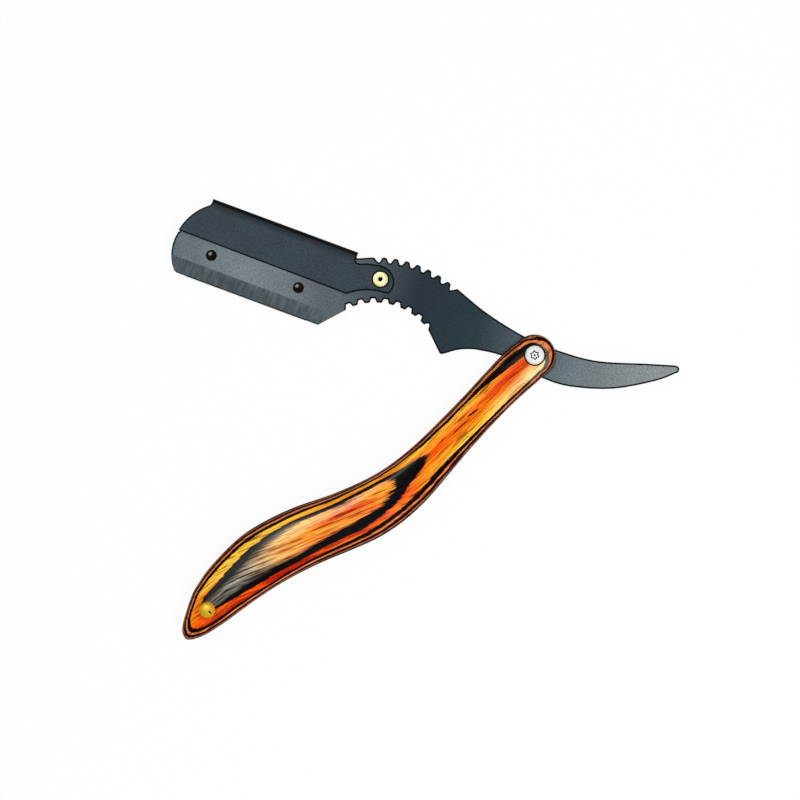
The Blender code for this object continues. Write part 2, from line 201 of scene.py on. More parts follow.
def ramp(tree, factor, stops):
    """A colour ramp from (position, colour) stops."""
    node = add(tree, "ShaderNodeValToRGB", {"Fac": factor})
    elements = node.color_ramp.elements
    while len(elements) < len(stops):
        elements.new(1.0)
    for element, (position, colour) in zip(elements, stops):
        element.position = position
        element.color = colour
    return node.outputs[0]


def spread(tree, factor, low, high, new_low, new_high):
    """A value taken from one range to another, held at the ends."""
    values = {"Value": factor, "From Min": low, "From Max": high, "To Min": new_low, "To Max": new_high}
    return add(tree, "ShaderNodeMapRange", values).outputs[0]


def blend(tree, factor, first, second, mode="MIX"):
    """Two colours mixed by a factor. Each of the three may be a value or a link."""
    node = add(tree, "ShaderNodeMix", data_type="RGBA", blend_type=mode)
    for socket, value in ((node.inputs[0], factor), (node.inputs[6], first), (node.inputs[7], second)):
        if isinstance(value, bpy.types.NodeSocket):
            tree.links.new(value, socket)
        else:
            socket.default_value = value
    return node.outputs[2]


def bump(tree, shader, height, depth_mm):
    """Lets a pattern stand in the surface without changing its shape."""
    values = {"Height": height, "Distance": depth_mm * MM, "Strength": 1.0}
    tree.links.new(add(tree, "ShaderNodeBump", values).outputs[0], shader.inputs["Normal"])


print("noise is read from", WIDE_NOISE[0], "to", WIDE_NOISE[1])

# %% [markdown]
# ## The wood: a block of dyed veneers
#
# The handle's rings are not painted. The scale is carved from a stack of thin veneers, dyed orange and
# black, so each ring is a contour line: where the carver cut deeper, a lower veneer shows. A picture of rings
# wrapped round the scale would slide on the curves. A colour ramp over the height above the scale's inner
# face gives the rings by itself, on any side and at any size.

# %% The stack of veneers
SLOT_HALF = 1.6
RAMP_TOP = 4.6
BLUR = 0.015
COPPER = linear(190, 116, 74)
MAROON = linear(40, 9, 5)
TAN = linear(232, 136, 78)
BROWN = linear(20, 11, 9)
ORANGE = linear(246, 132, 24)
BLACK = linear(9, 10, 11)
# Height in millimetres over the inner face where each veneer begins
VENEERS = [(0.0, MAROON), (0.9, COPPER), (1.2, MAROON), (1.8, TAN),
           (2.1, BROWN), (2.58, ORANGE), (3.35, BLACK), (3.85, ORANGE)]


def veneer_ramp(tree, level, colour_of):
    """A ramp that keeps each veneer plain and blurs only the glue line between two."""
    stops = []
    ends = [start for start, _ in VENEERS[1:]] + [RAMP_TOP]
    for (start, colour), end in zip(VENEERS, ends):
        shown = colour_of(colour)
        stops += [((start + BLUR) / RAMP_TOP, shown), ((end - BLUR) / RAMP_TOP, shown)]
    return ramp(tree, level, stops)


def only(wanted):
    """White for one veneer colour and black for all others, so that a ramp can pick it out."""
    return lambda colour: (1, 1, 1, 1) if colour == wanted else (0, 0, 0, 1)


print("stack:", len(VENEERS), "veneers up to", RAMP_TOP, "mm")

# %% [markdown]
# ## Glue lines that wander
#
# A perfect contour line looks printed. On real wood the glue line wanders slowly, and where the surface runs
# almost level with a veneer, the line breaks up into feathers along the grain. Two noises give that, a slow
# one and a fine one, and both are added to the height before the ramp reads it. The grain itself is not
# straight: in the neck it drifts one way and in the palm swell the other, so the noise gets coordinates that
# drift with it. In these functions along, across and up are millimetres on the handle's board, and a range
# over one of them says where something sets in and where it is complete.

# %% Height within the stack, with grain
# How fine each noise is along, across and through the grain, per millimetre, and how far it moves a line
WANDER_GRAIN = (0.035, 0.2, 0.1)
WANDER = 0.06
FEATHER_GRAIN = (0.075, 2.2, 0.4)
FEATHER = 0.22
# How far the grain drifts towards the mouth side over the neck and over the palm
NECK_DRIFT = -4.2
PALM_DRIFT = 16


def along_grain(tree, along, across, up):
    """Coordinates whose first axis follows the grain."""
    neck = spread(tree, along, 10, 45, 0, NECK_DRIFT)
    palm = spread(tree, along, 52, 112, 0, PALM_DRIFT)
    drifted = total(tree, across, neck, palm)
    return add(tree, "ShaderNodeCombineXYZ", {0: along, 1: drifted, 2: up}).outputs[0]


def feathered_height(tree, grain, along, up):
    """Height over the inner face, feathered where a veneer is cut almost level."""
    rise = calc(tree, "SUBTRACT", calc(tree, "ABSOLUTE", up), SLOT_HALF)
    wander = spread(tree, noise(tree, grain, WANDER_GRAIN, 2.0), *WIDE_NOISE, -WANDER, WANDER)
    feather = spread(tree, noise(tree, grain, FEATHER_GRAIN, 3.0, FINE), *WIDE_NOISE, -FEATHER, FEATHER)
    # Low veneers are feathered in the neck, and high ones in the palm
    low = product(tree, spread(tree, rise, 2.8, 3.2, 1, 0), spread(tree, along, 38, 55, 0.8, 0))
    low = product(tree, low, spread(tree, along, 0, 12, 0.1, 1))
    high = product(tree, spread(tree, rise, 3.35, 3.75, 0.3, 1), spread(tree, along, 46, 56, 0.4, 1))
    return total(tree, rise, wander, product(tree, feather, total(tree, low, high)))


print("glue lines wander by", WANDER, "mm and feather by", FEATHER, "mm")

# %% [markdown]
# ## A stack that was not pressed flat
#
# Over whole stretches of the handle the veneers rise, sink and swell, and that is why the rings of the two
# ends and of the palm are spaced so differently. The block could be bent as a mesh, but the rings are only
# colour. So each departure is a small function that says how far the lines rise over its stretch, in
# millimetres. Their sum is taken off the height, because a line that lies higher is reached later.

# %% Where the stack bends
PALM_X = 74.0
PALM_RISE = 0.28
TIP_X = 41.0
TIP_RISE = 0.03
TAIL_SWELL = 0.7
STACK_LEAN = 0.025
LOW_LINE_SINK = 0.2
HIGH_LINE_RISE = 0.55
ROUND_END_SINK = 0.4
RIM_RISE = 0.28
# A line along the handle: a point it runs through, and its slope
PALM_CREST = (74.0, 1.7, -0.065)


def off_line(tree, across, along, line):
    """Signed distance across the grain from a line through a point with a slope."""
    x, y, slope = line
    centre = calc(tree, "MULTIPLY_ADD", along, slope, third=y - slope * x)
    return calc(tree, "SUBTRACT", across, centre)


def fade(tree, value, centre, plain, end):
    """1 within plain of a centre, falling to 0 at end."""
    away = calc(tree, "ABSOLUTE", calc(tree, "SUBTRACT", value, centre))
    return spread(tree, away, plain, end, 1, 0)


def tip_rise(tree, along):
    """All lines rise a hair at the pointed tip of the black veneer."""
    return product(tree, fade(tree, along, TIP_X, 2, 8), TIP_RISE)


def palm_rise(tree, height, along):
    """The lower lines rise in the palm swell."""
    return product(tree, fade(tree, along, PALM_X, 15, 27), spread(tree, height, 2.9, 3.35, PALM_RISE, 0))


def palm_lean(tree, height, along, across):
    """The top line rises to the back of the palm swell and sinks to its mouth side."""
    off_crest = off_line(tree, across, along, PALM_CREST)
    steep = spread(tree, height, 3.45, 3.75, 0, STACK_LEAN)
    return product(tree, off_crest, fade(tree, along, 76, 6, 14), steep)


def tail_swell(tree, height, along):
    """The black veneer grows thicker at the tail, so the line above it rises."""
    over = calc(tree, "MAXIMUM", calc(tree, "SUBTRACT", height, 3.4), 0.0)
    return product(tree, over, spread(tree, along, 84, 106, 0, TAIL_SWELL))


def pivot_swell(tree, height, along, across):
    """The brown veneer is thicker beside the screw, on the mouth side."""
    place = product(tree, fade(tree, along, 10, 6, 16), spread(tree, across, -2, -1, 1, 0))
    low = spread(tree, height, 1.2, 1.6, 0, -LOW_LINE_SINK)
    high = spread(tree, height, 1.9, 2.55, 0, HIGH_LINE_RISE)
    return product(tree, place, total(tree, low, high))


def round_end_sink(tree, height, along):
    """The lower lines sink at the very end."""
    place = spread(tree, along, -5.2, -2.6, -ROUND_END_SINK, 0)
    return product(tree, place, spread(tree, height, 1.5, 2.05, 1, 0))


def rim_rise(tree, height, along, across):
    """The copper veneer is broad on the mouth side of the round end."""
    place = product(tree, spread(tree, along, -2, 3, 1, 0), spread(tree, across, -3.5, -1.5, 1, 0))
    return product(tree, place, fade(tree, height, 1.45, 0.05, 0.4), RIM_RISE)


def veneer_level(tree, grain, along, across, up):
    """Height within the stack as a share of the ramp, from 0 to 1."""
    height = feathered_height(tree, grain, along, up)
    rises = [tip_rise(tree, along), palm_rise(tree, height, along), palm_lean(tree, height, along, across),
             tail_swell(tree, height, along), pivot_swell(tree, height, along, across),
             round_end_sink(tree, height, along), rim_rise(tree, height, along, across)]
    return calc(tree, "DIVIDE", calc(tree, "SUBTRACT", height, total(tree, *rises)), RAMP_TOP)


print("palm crest runs through", PALM_CREST[:2], "mm")

# %% [markdown]
# ## Dye in the orange veneers
#
# The orange veneers took their dye unevenly. Yellow, orange and red lie on one ramp, and where a spot falls
# on it depends on how far it is from a red streak in the neck, or from the crest in the palm. Streaks of
# noise along the grain then break that up. Painting by hand would look as good, but only on this one shape
# and at one size.

# %% Dye from yellow to red
DYE = [(0.0, linear(255, 216, 76)), (0.3, linear(255, 180, 48)), (0.55, linear(254, 136, 12)),
       (0.8, linear(242, 80, 2)), (1.0, linear(190, 32, 4))]
LEAST_DYE = 0.1
# A painted highlight on the back side next to the screw
PAINTED_CREAM_HIGHLIGHT = linear(255, 230, 168)
NECK_STREAK = (25.0, 2.5, 0.13)
PALM_STREAK = (73.0, 2.1, -0.235)
# Place on the ramp: at a streak or on the crest, and how much is gained or lost per millimetre beside it
NECK_DYE = 0.75
NECK_FALL = -0.17
PALM_DYE = 0.41
PALM_GAIN = 0.035
STREAK_GRAIN = (0.05, 1.9, 0.5)
STREAK = 0.36


def neck_dye(tree, off_neck, along):
    """Red along a streak, redder still next to the screw and where the neck ends."""
    by_screw = spread(tree, along, 9, 20, 0.21, 0)
    neck_end = spread(tree, along, 30, 40, 0, 0.12)
    at_streak = total(tree, by_screw, neck_end, NECK_DYE)
    return calc(tree, "MULTIPLY_ADD", calc(tree, "ABSOLUTE", off_neck), NECK_FALL, third=at_streak)


def palm_dye(tree, level, across, along):
    """From yellow on the mouth side to red on the back, with a red heart, and red under the black veneer."""
    off_crest = off_line(tree, across, along, PALM_CREST)
    plain = calc(tree, "MULTIPLY_ADD", off_crest, PALM_GAIN, third=PALM_DYE)
    tail_mouth = product(tree, spread(tree, off_crest, -5, -3, -1, 0), spread(tree, along, 86, 100, 0, 0.3))
    tail_back = product(tree, spread(tree, off_crest, 3, 5, 0, 1), spread(tree, along, 84, 96, 0, 0.4))
    back = product(tree, spread(tree, off_crest, 1.5, 4.5, 0, 0.16), fade(tree, along, 82, 14, 22))
    end = spread(tree, along, 117, 122, 0, 0.13)
    heart = product(tree, fade(tree, off_line(tree, across, along, PALM_STREAK), 0, 0.3, 1.5),
                    fade(tree, along, PALM_STREAK[0], 5, 13), 0.3)
    under_black = product(tree, spread(tree, level, 3.0 / RAMP_TOP, 3.35 / RAMP_TOP, 0, 0.22),
                          spread(tree, level, 3.4 / RAMP_TOP, 3.6 / RAMP_TOP, 1, 0))
    return total(tree, plain, tail_mouth, tail_back, back, end, heart, under_black)


def dyed(tree, grain, level, across, along):
    """The colour of the orange veneers, with a pale painted highlight on the back side next to the screw."""
    off_neck = off_line(tree, across, along, NECK_STREAK)
    neck = neck_dye(tree, off_neck, along)
    palm = palm_dye(tree, level, across, along)
    in_palm = spread(tree, along, 38, 52, 0, 1)
    plain = calc(tree, "MULTIPLY_ADD", calc(tree, "SUBTRACT", palm, neck), in_palm, third=neck)
    streak = spread(tree, noise(tree, grain, STREAK_GRAIN, 4.0, FINE), *WIDE_NOISE, -STREAK, STREAK)
    colour = ramp(tree, calc(tree, "MAXIMUM", total(tree, plain, streak), LEAST_DYE), DYE)
    screw_side_highlight = product(tree, spread(tree, off_neck, 1.2, 3.2, 0, 0.75), spread(tree, along, 4, 22, 1, 0))
    return blend(tree, screw_side_highlight, colour, PAINTED_CREAM_HIGHLIGHT)


print("dye ramp:", len(DYE), "stops")

# %% [markdown]
# ## Pale places: missing dye and a painted highlight
#
# At the tail a painted highlight lies along the crest: the black veneer turns pale there, and so does the top
# orange veneer where it runs out. At the round end the brown veneer has gone grey. Such places could be
# painted, but a formula stays sharp at any size. So each is a mask from 0 to 1, and the two at the tail are
# torn along the fibres.

# %% Pale places and the painted highlight at the tail
# The colours of the painted highlight at the tail, and the grey of the brown veneer at the round end
HIGHLIGHT_ON_BLACK = linear(182, 178, 162)
HIGHLIGHT_ON_ORANGE = linear(236, 186, 112)
PALE_BROWN = linear(98, 102, 99)
TAIL_HIGHLIGHT_LINE = (104.0, -1.3, 0.03)
RAGGED = 30.0


def tail_highlight(tree, across, along, fibre):
    """How strong the painted highlight is along the crest at the tail, on a streak that narrows to the pin."""
    narrowing = spread(tree, along, 99, 113, 1.0, 1.9)
    beside = fade(tree, product(tree, off_line(tree, across, along, TAIL_HIGHLIGHT_LINE), narrowing), 0, 0.6, 3.9)
    length = product(tree, spread(tree, along, 82, 98, 0, 1), spread(tree, along, 110, 122, 1, 0.3))
    return product(tree, beside, length, spread(tree, fibre, 0.4, 0.56, 0.08, 1))


def end_highlight(tree, level, along, fibre):
    """How strong the painted highlight is on the top veneer where it runs out at the tail, with a ragged
    front.
    """
    front = calc(tree, "MULTIPLY_ADD", fibre, RAGGED, third=calc(tree, "SUBTRACT", along, RAGGED / 2))
    top = spread(tree, level, 3.7 / RAMP_TOP, 3.8 / RAMP_TOP, 0, 1)
    return product(tree, top, spread(tree, front, 84, 96, 0, 0.85))


def pale_round_end(tree, across, along):
    """How pale the brown veneer is on the back side of the round end."""
    return product(tree, spread(tree, across, -3, -0.5, 0, 1), spread(tree, along, 1, 10, 0.9, 0))


def lost_dye_and_highlight(tree, colour, level, across, along, fibre):
    """A veneer colour with the painted highlight at the tail and the grey of the round end."""
    highlight_colour = blend(tree, spread(tree, along, 94, 107, 0, 1), HIGHLIGHT_ON_ORANGE, HIGHLIGHT_ON_BLACK)
    pale = product(tree, veneer_ramp(tree, level, only(BLACK)), tail_highlight(tree, across, along, fibre))
    colour = blend(tree, pale, colour, highlight_colour)
    colour = blend(tree, end_highlight(tree, level, along, fibre), colour, highlight_colour)
    pale = product(tree, veneer_ramp(tree, level, only(BROWN)), pale_round_end(tree, across, along))
    return blend(tree, pale, colour, PALE_BROWN)


print("pale streak runs through", TAIL_HIGHLIGHT_LINE[:2], "mm")

# %% [markdown]
# ## Fibres and marks
#
# Dark fibres run through all veneers, and a few hairs among them are nearly black. Both are noise stretched
# along the grain, and give a tint that the colour is multiplied by. Two marks are single: a short split in
# the neck, and a ring of painted shade round the screw's head. Real cuts in the mesh would be too
# small to see, so both are masks with a centre and a size, which other finishes can use too.

# %% Fibres, a split and a painted shade ring
FIBRE_GRAIN = (0.09, 2.1, 0.6)
HAIR_GRAIN = (0.12, 2.1, 0.8)
FIBRE_TINT = [(0.34, (0.6, 0.34, 0.18, 1)), (0.47, (1, 1, 1, 1)), (0.7, (1.15, 1.15, 1.12, 1))]
HAIR_TINT = (0.2, 0.06, 0.03, 1)
DARK = linear(34, 11, 7)
# The split: its middle and its half sizes
SLIT = (24.3, 2.2)
SLIT_SIZE = (2.2, 0.28)
# The painted shade ring round the screw's head: how far out it is full, and how far out it ends
SCREW_SHADE_RING = (3.06, 3.22)


def fibres(tree, grain, fibre):
    """A tint to multiply by: brown in the fibres and nearly black in a few hairs."""
    hair = spread(tree, noise(tree, grain, HAIR_GRAIN, 2.0, 0.5), 0.56, 0.63, 0, 0.8)
    return blend(tree, hair, ramp(tree, fibre, FIBRE_TINT), HAIR_TINT)


def square_distance(tree, across, along, centre, size=(1, 1)):
    """The squared distance from a centre, counted in half sizes along and across."""
    squares = []
    for place, middle, half in ((along, centre[0], size[0]), (across, centre[1], size[1])):
        offset = calc(tree, "DIVIDE", calc(tree, "SUBTRACT", place, middle), half)
        squares.append(product(tree, offset, offset))
    return total(tree, *squares)


def oval(tree, across, along, centre, size):
    """1 inside an oval with a centre and two half sizes, 0 elsewhere, with a soft edge."""
    return spread(tree, square_distance(tree, across, along, centre, size), 0.6, 1.2, 1, 0)


def round_head(tree, across, along, centre, reach):
    """1 within the first of two distances from the middle of a head, falling to 0 at the second."""
    distance = calc(tree, "SQRT", square_distance(tree, across, along, centre))
    return spread(tree, distance, *reach, 1, 0)


print("split:", 2 * SLIT_SIZE[0], "mm long, grime out to", SCREW_SHADE_RING[1], "mm")

# %% [markdown]
# ## The finished wood
#
# All of this meets in one material. Several materials side by side could not feather into each other, so one
# material mixes them by masks. A clear coat gives the gloss: it is thick on the swell, and rubbed thin at the
# neck, the tail and the rim, where fingers hold the handle. The surface is rougher in the dark fibres, and
# they stand in it as a fine bump.

# %% The laminated wood
NECK_LACQUER = 0.03
PALM_LACQUER = 0.6
TAIL_LACQUER = 0.2
FIBRE_DEPTH = 0.03


def wood_colour(tree, grain, level, across, along, fibre):
    """The veneers with their dye, the missing dye and painted highlight, the fibres, the split and the painted
    shade round the screw.
    """
    colour = veneer_ramp(tree, level, lambda veneer: veneer)
    orange = veneer_ramp(tree, level, only(ORANGE))
    colour = blend(tree, orange, colour, dyed(tree, grain, level, across, along))
    colour = lost_dye_and_highlight(tree, colour, level, across, along, fibre)
    colour = blend(tree, 1.0, colour, fibres(tree, grain, fibre), "MULTIPLY")
    colour = blend(tree, oval(tree, across, along, SLIT, SLIT_SIZE), colour, DARK)
    # A ring of painted shade round the screw's head
    return blend(tree, round_head(tree, across, along, (0, 0), SCREW_SHADE_RING), colour, DARK)


def lacquer(tree, level, along):
    """How thick the clear coat is."""
    to_palm = spread(tree, along, 44, 66, NECK_LACQUER, PALM_LACQUER)
    to_tail = spread(tree, along, 84, 98, 1, TAIL_LACQUER)
    off_rim = spread(tree, level, 1.2 / RAMP_TOP, 2.6 / RAMP_TOP, 0, 1)
    return product(tree, to_palm, to_tail, off_rim)


def laminated_wood():
    """The handle's wood, from its grain to its lacquer."""
    shine = {"Coat_Roughness": 0.2, "Coat_IOR": 1.5, "Specular_IOR_Level": 0.03}
    finish, tree, shader = new_finish("laminated_wood", **shine)
    along, across, up = add(tree, "ShaderNodeSeparateXYZ", {0: on_board(tree, HANDLE_TURN)}).outputs
    grain = along_grain(tree, along, across, up)
    level = veneer_level(tree, grain, along, across, up)
    fibre = noise(tree, grain, FIBRE_GRAIN, 3.0, FINE)
    tree.links.new(wood_colour(tree, grain, level, across, along, fibre), shader.inputs["Base Color"])
    tree.links.new(spread(tree, fibre, *MOST_NOISE, 0.55, 0.4), shader.inputs["Roughness"])
    tree.links.new(lacquer(tree, level, along), shader.inputs["Coat Weight"])
    bump(tree, shader, fibre, FIBRE_DEPTH)
    return finish


WOOD = laminated_wood()
print("wood finish:", len(WOOD.node_tree.nodes), "nodes")

# %% [markdown]
# ## The outline of a scale
#
# A scale is the slab of wood on one side of the handle. Its outline runs from a round end at the pivot over
# the neck and the palm swell to the tail. A Bezier curve could draw it, but each of its points needs two
# handles. A curve that simply passes through a few measured points needs only those. Every point of the
# outline is paired with the point of the crest line that the wood rises to from there.

# %% The outline of a scale
CREST = [(0, 1.6), (10, 2.2), (25, 2.7), (38, 3.6), (50, 3.7), (60, 3.2), (70, 2.5), (80, 1.2), (90, 0.2),
         (100, -0.6), (110, -1.2), (118, -1.4)]
BACK_SIDE = [(3, 6.5), (15, 7.4), (30.7, 9.85), (46.4, 13.2), (53, 14.25), (60.3, 14.65), (68, 14.0),
             (76, 12.1), (86.4, 9.3), (97, 7.3), (107.3, 6.35), (118, 6.05)]
MOUTH_SIDE = [(3, -6.0), (8.1, -5.7), (15, -4.6), (25.5, -2.9), (41.2, -0.95), (51.6, -0.6), (60.3, -1.55),
              (70.8, -4.15), (81.2, -7.7), (89, -9.6), (97, -10.75), (104, -10.5), (112.5, -9.1), (118, -7.4)]
TAIL_END = [(118, 6.05), (124.7, 5.4), (129.0, 4.0), (130.2, 2.1), (128.3, -1.0), (121.3, -5.9), (118, -7.4)]
ROUND_END = 6.15
ROUND_END_CENTRE = (0.08, 0.1)
ROUND_END_DEG = (-80, -280)
ROUND_END_STEPS = 48
SPAN_STEPS = 16
TAIL_STEPS = 8
STATIONS = 150


def smooth_curve(points, steps=SPAN_STEPS):
    """An open curve that passes smoothly through its points."""
    ends = [points[0], *points, points[-1]]
    curve = []
    for a, b, c, d in zip(ends, ends[1:], ends[2:], ends[3:]):
        for step in range(steps):
            t = step / steps
            weights = (-t + 2 * t * t - t ** 3, 2 - 5 * t * t + 3 * t ** 3,
                       t + 4 * t * t - 3 * t ** 3, t ** 3 - t * t)
            spot = [sum(w * p[axis] for w, p in zip(weights, (a, b, c, d))) / 2 for axis in (0, 1)]
            curve.append(tuple(spot))
    return curve + [points[-1]]


def height_at(curve, x):
    """The second value of a curve where its first one is x."""
    for start, stop in zip(curve, curve[1:]):
        if x <= stop[0]:
            return start[1] + (stop[1] - start[1]) * (x - start[0]) / (stop[0] - start[0])
    return curve[-1][1]


def arc(centre, radius, first_deg, last_deg, steps):
    points = []
    for step in range(steps + 1):
        angle = math.radians(first_deg + (last_deg - first_deg) * step / steps)
        points.append((centre[0] + radius * math.cos(angle), centre[1] + radius * math.sin(angle)))
    return points


def scale_outline():
    """Points once round the scale, each with the crest point that it rises to."""
    back, mouth, crest = (smooth_curve(side) for side in (BACK_SIDE, MOUTH_SIDE, CREST))
    first, last = BACK_SIDE[0][0], BACK_SIDE[-1][0]
    stations = [first + (last - first) * step / STATIONS for step in range(STATIONS + 1)]
    ridge = [(x, height_at(crest, x)) for x in stations]
    pairs = [((x, height_at(back, x)), spot) for x, spot in zip(stations, ridge)]
    pairs += [(point, ridge[-1]) for point in smooth_curve(TAIL_END, TAIL_STEPS)[1:-1]]
    pairs += [((x, height_at(mouth, x)), spot) for x, spot in zip(reversed(stations), reversed(ridge))]
    round_end = arc(ROUND_END_CENTRE, ROUND_END, *ROUND_END_DEG, ROUND_END_STEPS)
    pairs += [(point, ridge[0]) for point in round_end]
    return pairs


outline = scale_outline()
print("scale outline:", len(outline), "points")

# %% [markdown]
# ## Raise the scales from their outline
#
# A scale is flat behind and rounded in front. It could be a subdivided box pushed about by hand, but then its
# outline would only be near. Here the outline is a face. It is extruded again and again, and each new ring is
# drawn in towards the crest line and lifted along a quarter of an ellipse. The last ring falls onto the
# crest, where the two sides merge. The crown is higher in the palm swell than at the neck: that is why the
# swell shows two more veneers.

# %% Raise the two scales
# Place along the handle, and the height of the crown over the scale's inner face there
CROWN = [(0, 3.05), (8, 3.22), (16, 3.36), (28, 3.34), (41, 3.36), (50, 3.53), (58, 3.95), (66, 4.13),
         (78, 4.2), (88, 4.25), (97, 4.15), (106, 3.95), (118, 3.62)]
RINGS = 22
REST_LAND = 4.15
CREST_MERGE = 0.001
WOOD_DEG = 60


def lift_ring(face, angle, crown, highest):
    """Draws a ring in to the crest and lifts it, by an angle on a quarter of an ellipse."""
    for vert, ((x, y), (ridge_x, ridge_y)) in zip(face.verts, outline):
        height = min(math.sin(angle) * height_at(crown, ridge_x), highest)
        reach = math.cos(angle)
        vert.co = (ridge_x + (x - ridge_x) * reach, ridge_y + (y - ridge_y) * reach, height)


def raise_scale(side):
    """A scale on the handle's board: side 1 lies in front, side -1 behind with a narrow flat to rest on."""
    crown = smooth_curve(CROWN)
    highest = REST_LAND if side < 0 else math.inf
    bm = bmesh.new()
    top = bm.faces.new([bm.verts.new((x, y, 0)) for (x, y), _ in outline])
    for ring in range(1, RINGS + 1):
        made = bmesh.ops.extrude_face_region(bm, geom=[top])["geom"]
        if ring > 1:
            bmesh.ops.delete(bm, geom=[top], context="FACES_ONLY")
        top = next(item for item in made if isinstance(item, bmesh.types.BMFace))
        lift_ring(top, math.pi / 2 * ring / RINGS, crown, highest)
    bmesh.ops.delete(bm, geom=[top], context="FACES_ONLY")
    bmesh.ops.remove_doubles(bm, verts=bm.verts, dist=CREST_MERGE)
    bmesh.ops.translate(bm, vec=(0, 0, SLOT_HALF), verts=bm.verts)
    bmesh.ops.scale(bm, vec=(1, 1, side), verts=bm.verts)
    return bm


scales = {}
for node, side in (("scale_front", 1), ("scale_rear", -1)):
    scales[side] = settle(raise_scale(side), node + "_wood", HANDLE, WOOD, "handle", node,
                          WOOD_DEG)
    print(node, "faces:", len(scales[side].data.polygons))

# %% [markdown]
# ## Seats for the fastenings
#
# Each scale has a bore for the pivot post and one for the tail pin, with a flat seat for each head. They could
# be worked into the scale's rings, but those would have to bend round them. A Boolean modifier with a turned
# cutter leaves the rings alone. The cutter would count as a piece, so the result is read back into the
# scale's own mesh and the cutter is removed.

# %% Bore the scales
PIN_X = 120.0
PIVOT_SEAT = SLOT_HALF + 2.5
TAIL_SEAT = SLOT_HALF + 3.2
HEAD = 2.75
TAIL_HEAD = 2.28
POST = 2.2
TAIL_PIN = 1.15
BORE_GAP = 0.12
FACE_GAP = 0.05
# How far the cutter reaches past the inner face, and how far above the seat
CUT_BELOW = 1.0
CUT_ABOVE = 3.0
SEGMENTS = 72
LOBES = 6


def ringed(rings, centre=(0, 0)):
    """A round piece from rings of (radius, z) or (radius, z, lobe depth), each extruded from the last."""
    bm = bmesh.new()
    verts = bmesh.ops.create_circle(bm, segments=SEGMENTS, radius=1)["verts"]
    loop = list(bm.edges)
    for index, (radius, z, *depth) in enumerate(rings):
        if index:
            made = bmesh.ops.extrude_edge_only(bm, edges=loop)["geom"]
            verts = [item for item in made if isinstance(item, bmesh.types.BMVert)]
            loop = [item for item in made if isinstance(item, bmesh.types.BMEdge)]
        for vert in verts:
            angle = math.atan2(vert.co.y, vert.co.x)
            reach = radius + (depth[0] * math.cos(LOBES * angle) if depth else 0)
            vert.co = (reach * math.cos(angle), reach * math.sin(angle), z)
    bmesh.ops.holes_fill(bm, edges=bm.edges)
    bmesh.ops.recalc_face_normals(bm, faces=bm.faces)
    bmesh.ops.translate(bm, vec=(*centre, 0), verts=bm.verts)
    return bm


def turned_cutter(side, centre, bore_radius, head_radius, seat):
    """An object in the shape of what is to be cut away: a bore and the seat above it."""
    floor = seat - FACE_GAP
    narrow = bore_radius + BORE_GAP
    wide = head_radius + BORE_GAP
    steps = [(narrow, SLOT_HALF - CUT_BELOW), (narrow, floor), (wide, floor), (wide, seat + CUT_ABOVE)]
    bm = ringed(steps, centre)
    bmesh.ops.scale(bm, vec=(1, 1, side), verts=bm.verts)
    bmesh.ops.recalc_face_normals(bm, faces=bm.faces)
    bmesh.ops.transform(bm, matrix=HANDLE, verts=bm.verts)
    mesh = bpy.data.meshes.new("cutter")
    bm.to_mesh(mesh)
    bm.free()
    cutter = bpy.data.objects.new("cutter", mesh)
    bpy.context.collection.objects.link(cutter)
    return cutter


def bore(piece, cutter):
    """Cuts a shape out of a scale and removes the cutter."""
    modifier = piece.modifiers.new("bore", "BOOLEAN")
    modifier.object = cutter
    modifier.solver = "EXACT"
    graph = bpy.context.evaluated_depsgraph_get()
    bored = bpy.data.meshes.new_from_object(piece.evaluated_get(graph))
    piece.modifiers.clear()
    piece.data = bored
    bpy.data.objects.remove(cutter)
    smooth(bored, WOOD_DEG)


for side, scale in scales.items():
    bore(scale, turned_cutter(side, (0, 0), POST, HEAD, PIVOT_SEAT))
    bore(scale, turned_cutter(side, (PIN_X, 0), TAIL_PIN, TAIL_HEAD, TAIL_SEAT))
    print(scale.name, "after boring:", len(scale.data.polygons), "faces")

# %% [markdown]
# ## Steel with a dark finish
#
# The tang and the cover are sheet steel with a blue-black coating. Its colour changes along the tang: painted
# reflection makes it lighter on the holder and on the tail and darker in between. A picture of steel would
# have to be unwrapped onto the fold. A ramp along the tang's board needs no unwrapping, a fine noise gives the
# grain of the blasted sheet, and the same noise breaks up the gloss. The cover gets painted shade along its
# fold, and a ring of painted shade round its rivet's head. The ground bevel's scratches run across the edge,
# so its noise is stretched that way.

# %% Finishes for the steel
# Place along the tang in millimetres, and the coating's colour there: its lighter and darker stretches are
# painted reflection
COATING_AND_REFLECTION = [(-110, linear(95, 105, 111)), (-84, linear(117, 128, 133)), (-57, linear(80, 91, 96)),
           (-38, linear(33, 43, 55)), (-18, linear(34, 55, 62)), (8, linear(99, 113, 119)),
           (42, linear(152, 158, 158))]
TANG_TIP = COATING_AND_REFLECTION[0][0]
TANG_END = COATING_AND_REFLECTION[-1][0]
BLASTED = (1.7, 1.7, 1.7)
CLOUDS = (0.12, 0.12, 0.12)
BARE_STEEL = linear(190, 196, 198)
COVER_COLOUR = linear(51, 64, 72)
# Painted shade along the cover's fold: its colour, and where across the cover it begins and where it is full
FOLD_SHADE = linear(16, 22, 27)
FOLD = (7.0, 9.3)
# A ring of painted shade round the rivet's head: full out to the first radius, gone at the second, and its
# colour
RIVET_SHADE_RING = (2.56, 2.72)
RING_SHADE = linear(5, 6, 8)
# Painted shade on the rounded edges of the sheets and on the rim along the ground edge
EDGE_SHADE_COLOUR = linear(12, 15, 18)
# The bevel's scratches and blotches, and its colours from dark to light
SCRATCHES = (3.2, 0.12, 1.0)
BLOTCHES = (0.5, 0.3, 0.3)
GROUND = [(0.3, linear(58, 67, 72)), (0.5, linear(76, 86, 91)), (0.7, linear(97, 107, 112))]


